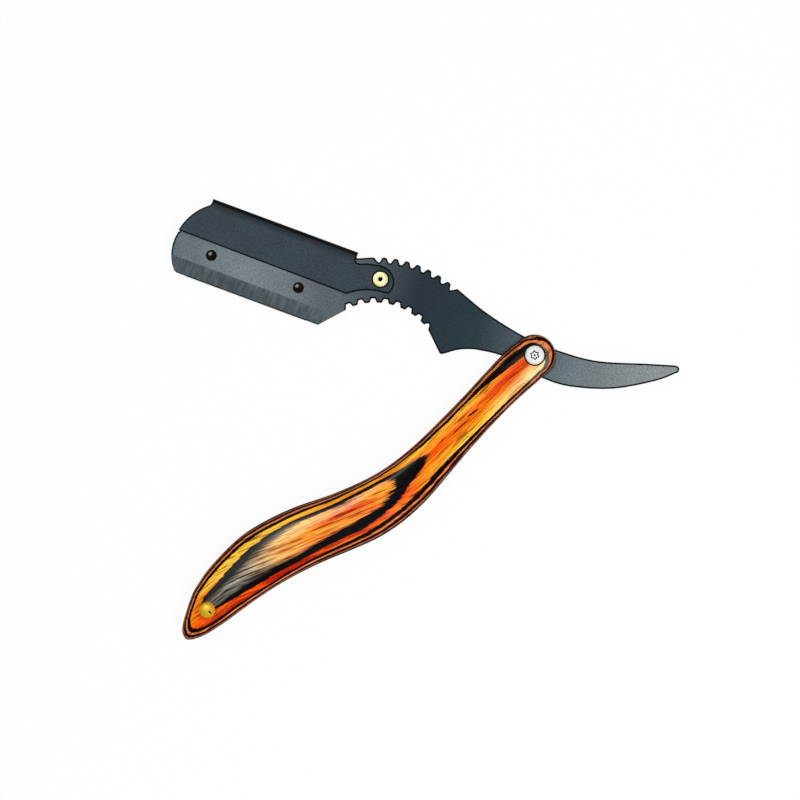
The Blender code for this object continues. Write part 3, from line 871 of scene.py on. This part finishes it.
def coated_steel(name, colour_at, fleck=0.55, specks=0.0, metal=0.25, gloss=0.25):
    """Coated sheet: colour_at gives its plain colour, noise gives its grain, and specks are bare spots."""
    finish, tree, shader = new_finish(name, Metallic=metal, Specular_IOR_Level=gloss)
    spot = on_board(tree, TANG_TURN)
    grain = noise(tree, spot, BLASTED, 3.0, 0.7)
    cloud = noise(tree, spot, CLOUDS, 3.0)
    shade = product(tree, spread(tree, grain, *MOST_NOISE, 1 - fleck, 1 + fleck),
                    spread(tree, cloud, *MOST_NOISE, 0.9, 1.1))
    grey = add(tree, "ShaderNodeCombineColor", {0: shade, 1: shade, 2: shade}).outputs[0]
    colour = blend(tree, 1.0, colour_at(tree, spot), grey, "MULTIPLY")
    bare = spread(tree, noise(tree, spot, BLASTED, 2.0), 0.68, 0.74, 0, specks)
    tree.links.new(blend(tree, bare, colour, BARE_STEEL), shader.inputs["Base Color"])
    tree.links.new(spread(tree, grain, *MOST_NOISE, 0.45, 0.6), shader.inputs["Roughness"])
    bump(tree, shader, grain, 0.006)
    return finish


def reflection_along_tang(tree, spot):
    """The tang's colour, with painted reflection that makes it lighter at both ends."""
    x = add(tree, "ShaderNodeSeparateXYZ", {0: spot}).outputs[0]
    share = spread(tree, x, TANG_TIP, TANG_END, 0.0, 1.0)
    return ramp(tree, share, [((at - TANG_TIP) / (TANG_END - TANG_TIP), colour) for at, colour in COATING_AND_REFLECTION])


def darker_at_fold(tree, spot):
    """The cover's colour, with painted shade along its fold and a ring of painted shade round the rivet's
    head.
    """
    x, y, _ = add(tree, "ShaderNodeSeparateXYZ", {0: spot}).outputs
    sheet = ramp(tree, spread(tree, y, *FOLD, 0.0, 1.0), [(0.0, COVER_COLOUR), (1.0, FOLD_SHADE)])
    return blend(tree, round_head(tree, y, x, rivet_spot, RIVET_SHADE_RING), sheet, RING_SHADE)


def ground_bevel():
    """Bare ground steel with scratches across the edge."""
    finish, tree, shader = new_finish("ground_bevel", Metallic=0.35)
    spot = on_board(tree, TANG_TURN)
    scratch = noise(tree, spot, SCRATCHES, 3.0, FINE)
    blotch = noise(tree, spot, BLOTCHES, 2.0)
    mix = total(tree, scratch, spread(tree, blotch, *MOST_NOISE, -0.06, 0.06))
    tree.links.new(ramp(tree, mix, GROUND), shader.inputs["Base Color"])
    tree.links.new(spread(tree, scratch, *MOST_NOISE, 0.55, 0.4), shader.inputs["Roughness"])
    bump(tree, shader, scratch, 0.008)
    return finish


# The tang's coating, with painted reflection along it
GREY_STEEL = coated_steel("coated_grey_steel", reflection_along_tang, 0.42, 0.05)
BLACK_STEEL = coated_steel("coated_black_steel", darker_at_fold)
# A dark finish that paints shade onto the rounded edges and the rim
EDGE_SHADE = coated_steel("painted_edge_shade_steel", lambda tree, spot: EDGE_SHADE_COLOUR, metal=0.0, gloss=0.05)
BEVEL = ground_bevel()
print("steel finishes:", GREY_STEEL.name, BLACK_STEEL.name, EDGE_SHADE.name, BEVEL.name)

# %% [markdown]
# ## Sheet steel with real edges
#
# The plain solids already have the right outlines, jimps and fold, so drawing them again would only invite
# errors. A copy of the node is cleaned instead: its loose triangles are merged, flat neighbours are dissolved
# into one face, and chosen edges get a small rounded bevel. That thin rounding is what makes steel look like
# steel, because it catches or loses the light all along an edge. Only the edges round the flats are chosen,
# so that the jimps' upright corners stay crisp. Where an outline is crowded the bevel's points would cross,
# so those that come too close are merged, and the flats are set level again.

# %% Round the edges of the sheet parts
PLATE_ROUND = 0.5
SHEET_ROUND = 0.45
ROUND_SEGMENTS = 2
# Two points this close in metres are one, and two faces this near to one plane are one
SAME_SPOT = 1e-6
SAME_PLANE_DEG = 0.5
CORNER_DEG = 28
CROWDED = 0.12
COVER_DEG = 20
# How straight up a face has to look: to count as a flat, and to be set level
FLAT_TILT = 0.99
LEVEL_TILT = 0.99999
# On the tang's board: the cover's outer side, the cutting edge, the width of its rim of painted shade and the
# top of the ground bevel
OUTER_Z = 1.0
EDGE_Y = -13.55
RIM = 0.28
BEVEL_TOP_Y = -9.1
BEVEL_CLEAR = 0.05
HERE = Matrix.Identity(4)


def level_flats(bm):
    """Puts all points of each level face at one height."""
    for face in bm.faces:
        if abs(face.normal.z) > LEVEL_TILT:
            heights = sorted(vert.co.z for vert in face.verts)
            for vert in face.verts:
                vert.co.z = heights[len(heights) // 2]


def softened(node, width, is_chosen=lambda edge: True):
    """A clean copy of a node's mesh, with its chosen corners rounded."""
    bm = bmesh.new()
    bm.from_mesh(frame["nodes"][node].data)
    bmesh.ops.remove_doubles(bm, verts=bm.verts, dist=SAME_SPOT)
    same_plane = math.radians(SAME_PLANE_DEG)
    bmesh.ops.dissolve_limit(bm, angle_limit=same_plane, verts=bm.verts, edges=bm.edges)
    sharp = math.radians(CORNER_DEG)
    corners = [edge for edge in bm.edges if edge.is_manifold and edge.calc_face_angle() > sharp]
    corners = [edge for edge in corners if is_chosen(edge)]
    bmesh.ops.bevel(bm, geom=corners, offset=width * MM, affect="EDGES", segments=ROUND_SEGMENTS,
                    profile=0.5, material=-1, clamp_overlap=False)
    bmesh.ops.remove_doubles(bm, verts=bm.verts, dist=CROWDED * MM)
    level_flats(bm)
    return bm


def on_plate_outline(edge):
    """Whether an edge runs round a flat of the plate and stays clear of its ground bevel."""
    on_flat = max(abs(face.normal.z) for face in edge.link_faces) > FLAT_TILT
    lowest = min((TANG.inverted() @ vert.co).y for vert in edge.verts)
    return on_flat and lowest > BEVEL_TOP_Y - BEVEL_CLEAR


def on_outer_face(edge):
    """Whether an edge of the folded sheet lies on its outer side."""
    return min(abs((TANG.inverted() @ vert.co).z) for vert in edge.verts) > OUTER_Z


def mark_off_edge(bm):
    """Cuts a thin strip along the ground edge, for its rim of painted shade."""
    rim = TANG @ Vector((0, EDGE_Y + RIM, 0))
    across = TANG.to_3x3() @ Vector((0, 1, 0))
    bmesh.ops.bisect_plane(bm, geom=[*bm.verts, *bm.edges, *bm.faces], plane_co=rim, plane_no=across)
    return bm


tang_mesh = mark_off_edge(softened("tang_plate", PLATE_ROUND, on_plate_outline))
cover_mesh = softened("swing_cover", SHEET_ROUND, on_outer_face)
tang = settle(tang_mesh, "tang_plate_steel", HERE, GREY_STEEL, "tang", "tang_plate")
cover = settle(cover_mesh, "swing_cover_sheet", HERE, BLACK_STEEL, "cover", "swing_cover",
               COVER_DEG)
print("tang faces:", len(tang.data.polygons), "cover faces:", len(cover.data.polygons))

# %% [markdown]
# ## More than one finish on a piece
#
# The holder's edge side is ground to a bevel, which shows scratches and ends in a thin rim of painted shade.
# The rounded edges of both sheets get painted shade too, darker than their flats. Such faces could be picked
# by hand in Edit Mode. Here the way a face looks and the place of its middle tell which finish it gets. A
# Weighted Normal modifier then lets each large flat keep its own direction, so that only the rounded edges
# shade.

# %% Give the ground bevel its own finish, and the cut edges painted shade
BEVEL_TILT = (0.96, 0.995)
EDGE_TILT = 0.985
FLATS_FIRST = 100


def dress_faces(piece, on_bevel):
    """Cut edges get painted shade, darker than the flats, and the ground bevel gets its brushed finish."""
    piece.data.materials.append(EDGE_SHADE)
    piece.data.materials.append(BEVEL)
    counts = [0, 0, 0]
    for face in piece.data.polygons:
        lean = abs(face.normal.z)
        y = (TANG.inverted() @ face.center).y
        if lean < EDGE_TILT or y < EDGE_Y + RIM:
            face.material_index = 1
        if on_bevel and EDGE_Y + RIM < y < BEVEL_TOP_Y and BEVEL_TILT[0] < face.normal.z < BEVEL_TILT[1]:
            face.material_index = 2
        counts[face.material_index] += 1
    print(piece.name, "flat, edge and bevel faces:", counts)


def even_normals(piece):
    """Lets the largest faces decide which way the corners look."""
    weight = piece.modifiers.new("even normals", "WEIGHTED_NORMAL")
    weight.keep_sharp = True
    weight.weight = FLATS_FIRST


for piece, on_bevel in ((tang, True), (cover, False)):
    dress_faces(piece, on_bevel)
    even_normals(piece)

# %% [markdown]
# ## Turned brass, bright steel and black pins
#
# Brass and steel fastenings have faint turning marks. Rings of noise round each piece's own axis would need
# its centre, so a fine grain without direction stands for the polish instead, and one function serves them
# all. The tail pin has one dark dent, taken for a mark of the hammer that set it.

# %% Finishes for the fastenings
POLISH = (2.4, 2.4, 2.4)
DULLER = 0.12
# The dent in the tail pin: its middle and its half sizes on the handle's board
DENT = (119.7, 1.0)
DENT_SIZE = (0.3, 0.65)


def polished(name, colour, worn, roughness=0.22, metal=0.35, dented=False):
    """Turned metal with a worn colour in patches, where it is also duller."""
    finish, tree, shader = new_finish(name, Metallic=metal)
    spot = on_board(tree, TANG_TURN)
    polish = noise(tree, spot, POLISH, 4.0, FINE)
    shown = ramp(tree, polish, [(0.35, worn), (0.6, colour)])
    if dented:
        along, across, _ = add(tree, "ShaderNodeSeparateXYZ", {0: on_board(tree, HANDLE_TURN)}).outputs
        shown = blend(tree, oval(tree, across, along, DENT, DENT_SIZE), shown, DARK)
    tree.links.new(shown, shader.inputs["Base Color"])
    dull = spread(tree, polish, *MOST_NOISE, roughness + DULLER, roughness)
    tree.links.new(dull, shader.inputs["Roughness"])
    bump(tree, shader, polish, 0.004)
    return finish


PALE_BRASS = polished("pale_brass", linear(255, 249, 184), linear(255, 242, 160))
GOLD_BRASS = polished("golden_brass", linear(240, 193, 42), linear(220, 168, 28), 0.32, dented=True)
BRIGHT_STEEL = polished("bright_steel", linear(255, 255, 252), linear(246, 246, 243), 0.3, 0.15)
PIN_STEEL = polished("black_pin_steel", linear(14, 16, 18), linear(8, 9, 10), 0.06)
# A dark finish that paints shade into the rivet's bore and rim and the screw's socket
RECESS_SHADE = polished("painted_recess_shade", linear(14, 13, 11), linear(24, 22, 18), 0.6)
BLADE_STEEL = polished("blade_steel", linear(196, 200, 203), linear(170, 175, 178), 0.28)
print("brass finishes:", PALE_BRASS.name, GOLD_BRASS.name)

# %% [markdown]
# ## The rivet and the blade pins, ring by ring
#
# A brass rivet with a bore holds the cover, and two domed pins locate the blade. They are round, so each is a
# list of rings: starting from a circle of edges, every ring is extruded from the last and set to its own
# radius and height. A profile with a Screw modifier would look the same, but a list of rings is also a
# drawing that can be read. The faces in the bore and along the rolled rim get a dark finish of painted
# shade.

# %% The tubular rivet and the blade pins
RIVET_HEAD = 2.2
RIVET_BARREL = 1.4
RIVET_BORE = 0.63
RIVET_RISE = 0.3
RIVET_BORE_DEPTH = 1.6
# The rolled rim, in from the head's radius and up from the sheet, and the bore's lip, out and down
RIVET_ROLL = [(0.04, 0.0), (0.0, 0.04), (0.0, 0.1), (0.06, 0.22), (0.25, RIVET_RISE)]
BORE_LIP = [(0.15, 0.0), (0.04, 0.04), (0.0, 0.15)]
# Where painted shade goes on the rivet: in its bore, and round its rolled rim
BORE_SHADE = RIVET_BORE + 0.05
RIM_SHADE = (RIVET_HEAD - 0.06, RIVET_HEAD + 0.1)
SHEET_FRONT = 1.25 + FACE_GAP
SHEET_REAR = -1.4 - FACE_GAP
PIN_SPOTS = {"blade_pin_tip": (-97.85, -5.4), "blade_pin_heel": (-70.95, -5.4)}
PIN_HEAD = 1.6
PIN_SHANK = 0.9
PIN_FOOT = -0.75
PIN_SEAT = 0.65
PIN_DOME = 0.45
PIN_LIP = 0.03
HEAD_LIP = 0.05
DOME_STEPS = 10
DOME_FLAT = 0.04


def shade_recess(piece, place, centre, reach, low, high):
    """Gives the faces between two radii and two heights a dark finish of painted shade."""
    slots = piece.data.materials
    if RECESS_SHADE.name not in slots:
        slots.append(RECESS_SHADE)
    for face in piece.data.polygons:
        spot = place.inverted() @ face.center
        if reach[0] <= (spot.xy - Vector(centre)).length < reach[1] and low < spot.z < high:
            face.material_index = slots.find(RECESS_SHADE.name)


def dome(radius, base, rise, steps=DOME_STEPS):
    """Rings of a dome from its rim up to a small flat at its top."""
    rings = []
    for step in range(steps + 1):
        angle = math.pi / 2 * step / steps
        rings.append((max(radius * math.cos(angle), DOME_FLAT), base + rise * math.sin(angle)))
    return rings


def flipped(rings):
    """The same rings upside down, in the order from the lowest up."""
    return [(radius, -z, *more) for radius, z, *more in reversed(rings)]


def rivet_head(base):
    """The rolled rim of a rivet's head, from its barrel out and over to a flat top."""
    return [(RIVET_BARREL, base), *((RIVET_HEAD - inward, base + up) for inward, up in RIVET_ROLL)]


rivet_top = SHEET_FRONT + RIVET_RISE
bored_end = [(RIVET_BORE + out, rivet_top - down) for out, down in BORE_LIP]
bored_end.append((RIVET_BORE, SHEET_FRONT - RIVET_BORE_DEPTH))
rivet_rings = flipped(rivet_head(-SHEET_REAR)) + rivet_head(SHEET_FRONT) + bored_end
rivet = settle(ringed(rivet_rings, rivet_spot.xy), "cover_rivet_brass", TANG, PALE_BRASS, "tang",
               "cover_rivet")
# Painted shade in the rivet's bore and round its rolled rim
shade_recess(rivet, TANG, rivet_spot.xy, (0, BORE_SHADE), SHEET_REAR, rivet_top - HEAD_LIP)
shade_recess(rivet, TANG, rivet_spot.xy, RIM_SHADE, SHEET_FRONT, rivet_top)
pin_rings = [(PIN_SHANK, PIN_FOOT), (PIN_SHANK, PIN_SEAT), (PIN_HEAD - HEAD_LIP, PIN_SEAT)]
pin_rings += dome(PIN_HEAD, PIN_SEAT + PIN_LIP, PIN_DOME - PIN_LIP)
for node, spot in PIN_SPOTS.items():
    settle(ringed(pin_rings, spot), node + "_steel", TANG, PIN_STEEL, "tang", node)
print("rivet rings:", len(rivet_rings), "pin rings:", len(pin_rings))

# %% [markdown]
# ## The screw, its post and the tail pin
#
# The tang turns on a post with a screw in it. The screw has a button head with a star socket, and a pin in
# the middle of that, as a security screw has. Cutting the star with a Boolean would leave ragged faces on the
# dome. A ring can be lobed instead: its radius swings with a cosine, six times round. The post's head behind
# is the same without the pin, and the tail pin has a dome at both ends.

# %% The pivot screw, its post and the tail pin
HEAD_DOME = 1.35
HEAD_STEPS = 14
HEAD_CHAMFER = 0.06
HEAD_RIM = 0.25
# The star socket, the flat land round it and where the crown ends
STAR = 0.8
LOBE = 0.17
STAR_WALL = 0.42
STAR_DEPTH = 0.6
LAND = 0.2
LAND_RISE = 0.05
CROWN_END = STAR + 0.6
# The pin in the socket: its radius, and its shoulder and top below the land
SECURITY_PIN = 0.3
PIN_SHOULDER = 0.2
PIN_TOP = 0.14
PIN_TAPER = 0.08
SHANK = 1.3
SHANK_CHAMFER = 0.2
SHANK_END = -PIVOT_SEAT + 1.7
POST_BORE = 1.45
POST_END = PIVOT_SEAT - 2 * FACE_GAP
POST_FLOOR = -PIVOT_SEAT + 1.2
TAIL_DOME = 0.95
# The part of the socket that gets painted shade, from the top of the pin down and up
SOCKET_SHADE = (0.2 - STAR_DEPTH, 0.1)


def button_head(pinned):
    """A button head with a star socket, and a pin in its middle where it is a security screw."""
    crown_base = PIVOT_SEAT + HEAD_RIM
    rim = [(HEAD - HEAD_CHAMFER, PIVOT_SEAT), (HEAD, PIVOT_SEAT + HEAD_CHAMFER), (HEAD, crown_base)]
    crown = dome(HEAD, crown_base, HEAD_DOME - HEAD_RIM, HEAD_STEPS)
    crown = [ring for ring in crown[1:] if ring[0] > CROWN_END]
    top = crown[-1][1] + LAND_RISE
    bottom = top - STAR_DEPTH
    star = [(STAR + STAR_WALL + LAND, top), (STAR + STAR_WALL, top, LOBE), (STAR, bottom, LOBE)]
    if pinned:
        star += [(SECURITY_PIN, bottom), (SECURITY_PIN, top - PIN_SHOULDER)]
        star += [(SECURITY_PIN - PIN_TAPER, top - PIN_TOP)]
    return rim + crown + star


screw = [(SHANK - SHANK_CHAMFER, SHANK_END), (SHANK, SHANK_END + SHANK_CHAMFER), (SHANK, PIVOT_SEAT)]
screw += button_head(True)
screw_piece = settle(ringed(screw), "pivot_screw_steel", HANDLE, BRIGHT_STEEL, "handle",
                     "pivot_screw")
# Painted shade on the walls of the star socket
shade_low, shade_high = (screw[-1][1] + reach for reach in SOCKET_SHADE)
shade_recess(screw_piece, HANDLE, (0, 0), (0, STAR + STAR_WALL), shade_low, shade_high)
post = flipped(button_head(False)) + [(POST, -PIVOT_SEAT), (POST, POST_END)]
post += [(POST_BORE, POST_END), (POST_BORE, POST_FLOOR)]
settle(ringed(post), "pivot_post_steel", HANDLE, BRIGHT_STEEL, "handle", "pivot_post")
tail_head = [(TAIL_PIN, TAIL_SEAT), (TAIL_HEAD - HEAD_LIP, TAIL_SEAT)]
tail_head += dome(TAIL_HEAD, TAIL_SEAT + HEAD_LIP, TAIL_DOME - HEAD_LIP)
settle(ringed(flipped(tail_head) + tail_head, (PIN_X, 0)), "tail_pin_brass", HANDLE, GOLD_BRASS, "handle",
       "tail_pin")
print("screw rings:", len(screw), "post rings:", len(post))

# %% [markdown]
# ## What stays plain
#
# The blade, the two washers and the wedge at the tail are right as they come: flat shapes that hardly show.
# Modelling them again would add nothing to see. The wedge gets rounded edges and a dark dyed wood, and the
# others only get a finish of their own.

# %% The wedge, the blade and the washers
WEDGE_ROUND = 0.15
WEDGE_GRAIN = (0.25, 4.0, 4.0)
WEDGE_WOOD = [(0.3, linear(22, 15, 12)), (0.7, linear(70, 40, 24))]
PLAIN_NODES = {"razor_blade": BLADE_STEEL, "pivot_washer_front": GOLD_BRASS, "pivot_washer_rear": GOLD_BRASS}


def dark_wood():
    """Dark wood with a straight grain, under a thin lacquer."""
    finish, tree, shader = new_finish("dark_dyed_wood", Coat_Weight=0.4, Coat_Roughness=0.2)
    spot = on_board(tree, HANDLE_TURN)
    fibre = noise(tree, spot, WEDGE_GRAIN, 4.0, FINE)
    tree.links.new(ramp(tree, fibre, WEDGE_WOOD), shader.inputs["Base Color"])
    tree.links.new(spread(tree, fibre, *MOST_NOISE, 0.55, 0.4), shader.inputs["Roughness"])
    bump(tree, shader, fibre, FIBRE_DEPTH)
    return finish


settle(softened("tail_spacer", WEDGE_ROUND), "tail_spacer_wood", HERE, dark_wood(), "handle",
       "tail_spacer")
for node, finish in PLAIN_NODES.items():
    slots = frame["nodes"][node].data.materials
    slots.clear()
    slots.append(finish)
print("plain nodes with a finish:", len(PLAIN_NODES))

# %% [markdown]
# ## The floor
#
# The razor lies on white. Lighting a floor until it looks white would also wash out the razor. So it shows
# white to the camera and to mirror rays by itself, with a share of plain diffuse left in, so that it keeps a
# faint shadow. For all other rays it is an ordinary pale floor.

# %% The floor
FLOOR_HALF = 6.0
FLOOR_DROP = 0.0002
SHADOW_SHARE = 0.07


def white_ray(tree):
    """1 for rays that should see plain white: from the camera, from mirrors and through glass."""
    path = add(tree, "ShaderNodeLightPath").outputs
    seen = calc(tree, "MAXIMUM", path["Is Camera Ray"], path["Is Glossy Ray"])
    return calc(tree, "MAXIMUM", seen, path["Is Transmission Ray"])


def floor_finish():
    """White by itself for some rays, and plain diffuse for the others and for a share of those."""
    finish, tree, shader = new_finish("white_floor", Roughness=0.9, Specular_IOR_Level=0.0)
    shader.inputs["Base Color"].default_value = (0.95, 0.95, 0.95, 1)
    glow = add(tree, "ShaderNodeEmission", {"Color": (1, 1, 1, 1), "Strength": 1.0})
    share = product(tree, white_ray(tree), 1 - SHADOW_SHARE)
    mix = add(tree, "ShaderNodeMixShader", {0: share, 1: shader.outputs[0], 2: glow.outputs[0]})
    tree.links.new(mix.outputs[0], tree.nodes["Material Output"].inputs["Surface"])
    return finish


floor_mesh = bmesh.new()
bmesh.ops.create_grid(floor_mesh, x_segments=1, y_segments=1, size=FLOOR_HALF)
bmesh.ops.translate(floor_mesh, vec=(0, 0, -FLOOR_DROP), verts=floor_mesh.verts)
floor_data = bpy.data.meshes.new("floor")
floor_mesh.to_mesh(floor_data)
floor_mesh.free()
floor_data.materials.append(floor_finish())
floor = bpy.data.objects.new("floor", floor_data)
bpy.context.collection.objects.link(floor)
print("floor:", 2 * FLOOR_HALF, "m square")

# %% [markdown]
# ## The sky and the lamps
#
# In the photo the flat steel looks even, its edges are dark and the handle has a broad gloss. A picture of a
# studio could light the scene, but that is one more file. A dim sky that is a little brighter overhead does
# it too: rounded edges turn dark, as an edge does when it mirrors a dark studio wall. Two large soft lamps
# give most of the light. The key on the upper left is mirrored and makes the gloss on the handle. The fill on
# the lower right lights without a reflection of itself.

# %% The sky and the lamps
SKY_TOP = 0.14
SKY_EDGE = 0.06
# How steeply up a ray looks where the sky begins to brighten, and where it is brightest
SKY_RISE = (0.15, 0.75)
KEY_PLACE = (-0.252, 0.324, 1.128)
KEY_SIZE = 0.47
KEY_WATTS = 4.8
FILL_PLACE = (0.3, -0.3, 1.0)
FILL_SIZE = 0.8
FILL_WATTS = 8.6


def studio_sky():
    """A white sky, brighter overhead than at the horizon."""
    world = bpy.data.worlds.new("studio_sky")
    world.use_nodes = True
    tree = world.node_tree
    direction = add(tree, "ShaderNodeTexCoord").outputs["Generated"]
    up = add(tree, "ShaderNodeSeparateXYZ", {0: direction}).outputs[2]
    level = spread(tree, up, *SKY_RISE, SKY_EDGE, SKY_TOP)
    tree.links.new(level, tree.nodes["Background"].inputs["Strength"])
    tree.nodes["Background"].inputs["Color"].default_value = (1, 1, 1, 1)
    bpy.context.scene.world = world


def softbox(name, place, size, watts, mirrored):
    """A round soft lamp aimed at the origin, which shows in mirrors or not."""
    data = bpy.data.lights.new(name, "AREA")
    data.shape = "DISK"
    data.size = size
    data.energy = watts
    lamp = bpy.data.objects.new(name, data)
    lamp.location = place
    lamp.rotation_euler = (-Vector(place)).to_track_quat("-Z", "Y").to_euler()
    lamp.visible_glossy = mirrored
    bpy.context.collection.objects.link(lamp)


studio_sky()
softbox("key_softbox", KEY_PLACE, KEY_SIZE, KEY_WATTS, True)
softbox("fill_softbox", FILL_PLACE, FILL_SIZE, FILL_WATTS, False)
print("sky from", SKY_EDGE, "to", SKY_TOP)

# %% [markdown]
# ## The camera
#
# The razor is seen from straight above, and hardly any side of it shows, so the lens is long. An orthographic
# camera would show no side at all. A camera 1.5 m above the pivot is close to that and still a real one. Its
# lens follows from the width of the view at the height of the pivot.

# %% The camera
VIEW_WIDTH = 0.232
SENSOR = 36
VIEW_CENTRE = PIVOT + Vector((-0.03895, -0.01296, 0))
CAMERA_HEIGHT = 1.5
camera_data = bpy.data.cameras.new("camera")
camera_data.sensor_width = SENSOR
camera_data.lens = SENSOR * CAMERA_HEIGHT / VIEW_WIDTH
camera = bpy.data.objects.new("camera", camera_data)
camera.location = VIEW_CENTRE + Vector((0, 0, CAMERA_HEIGHT))
bpy.context.collection.objects.link(camera)
bpy.context.scene.camera = camera
bpy.context.scene.view_settings.view_transform = "Standard"
print("lens:", round(camera_data.lens, 1), "mm")
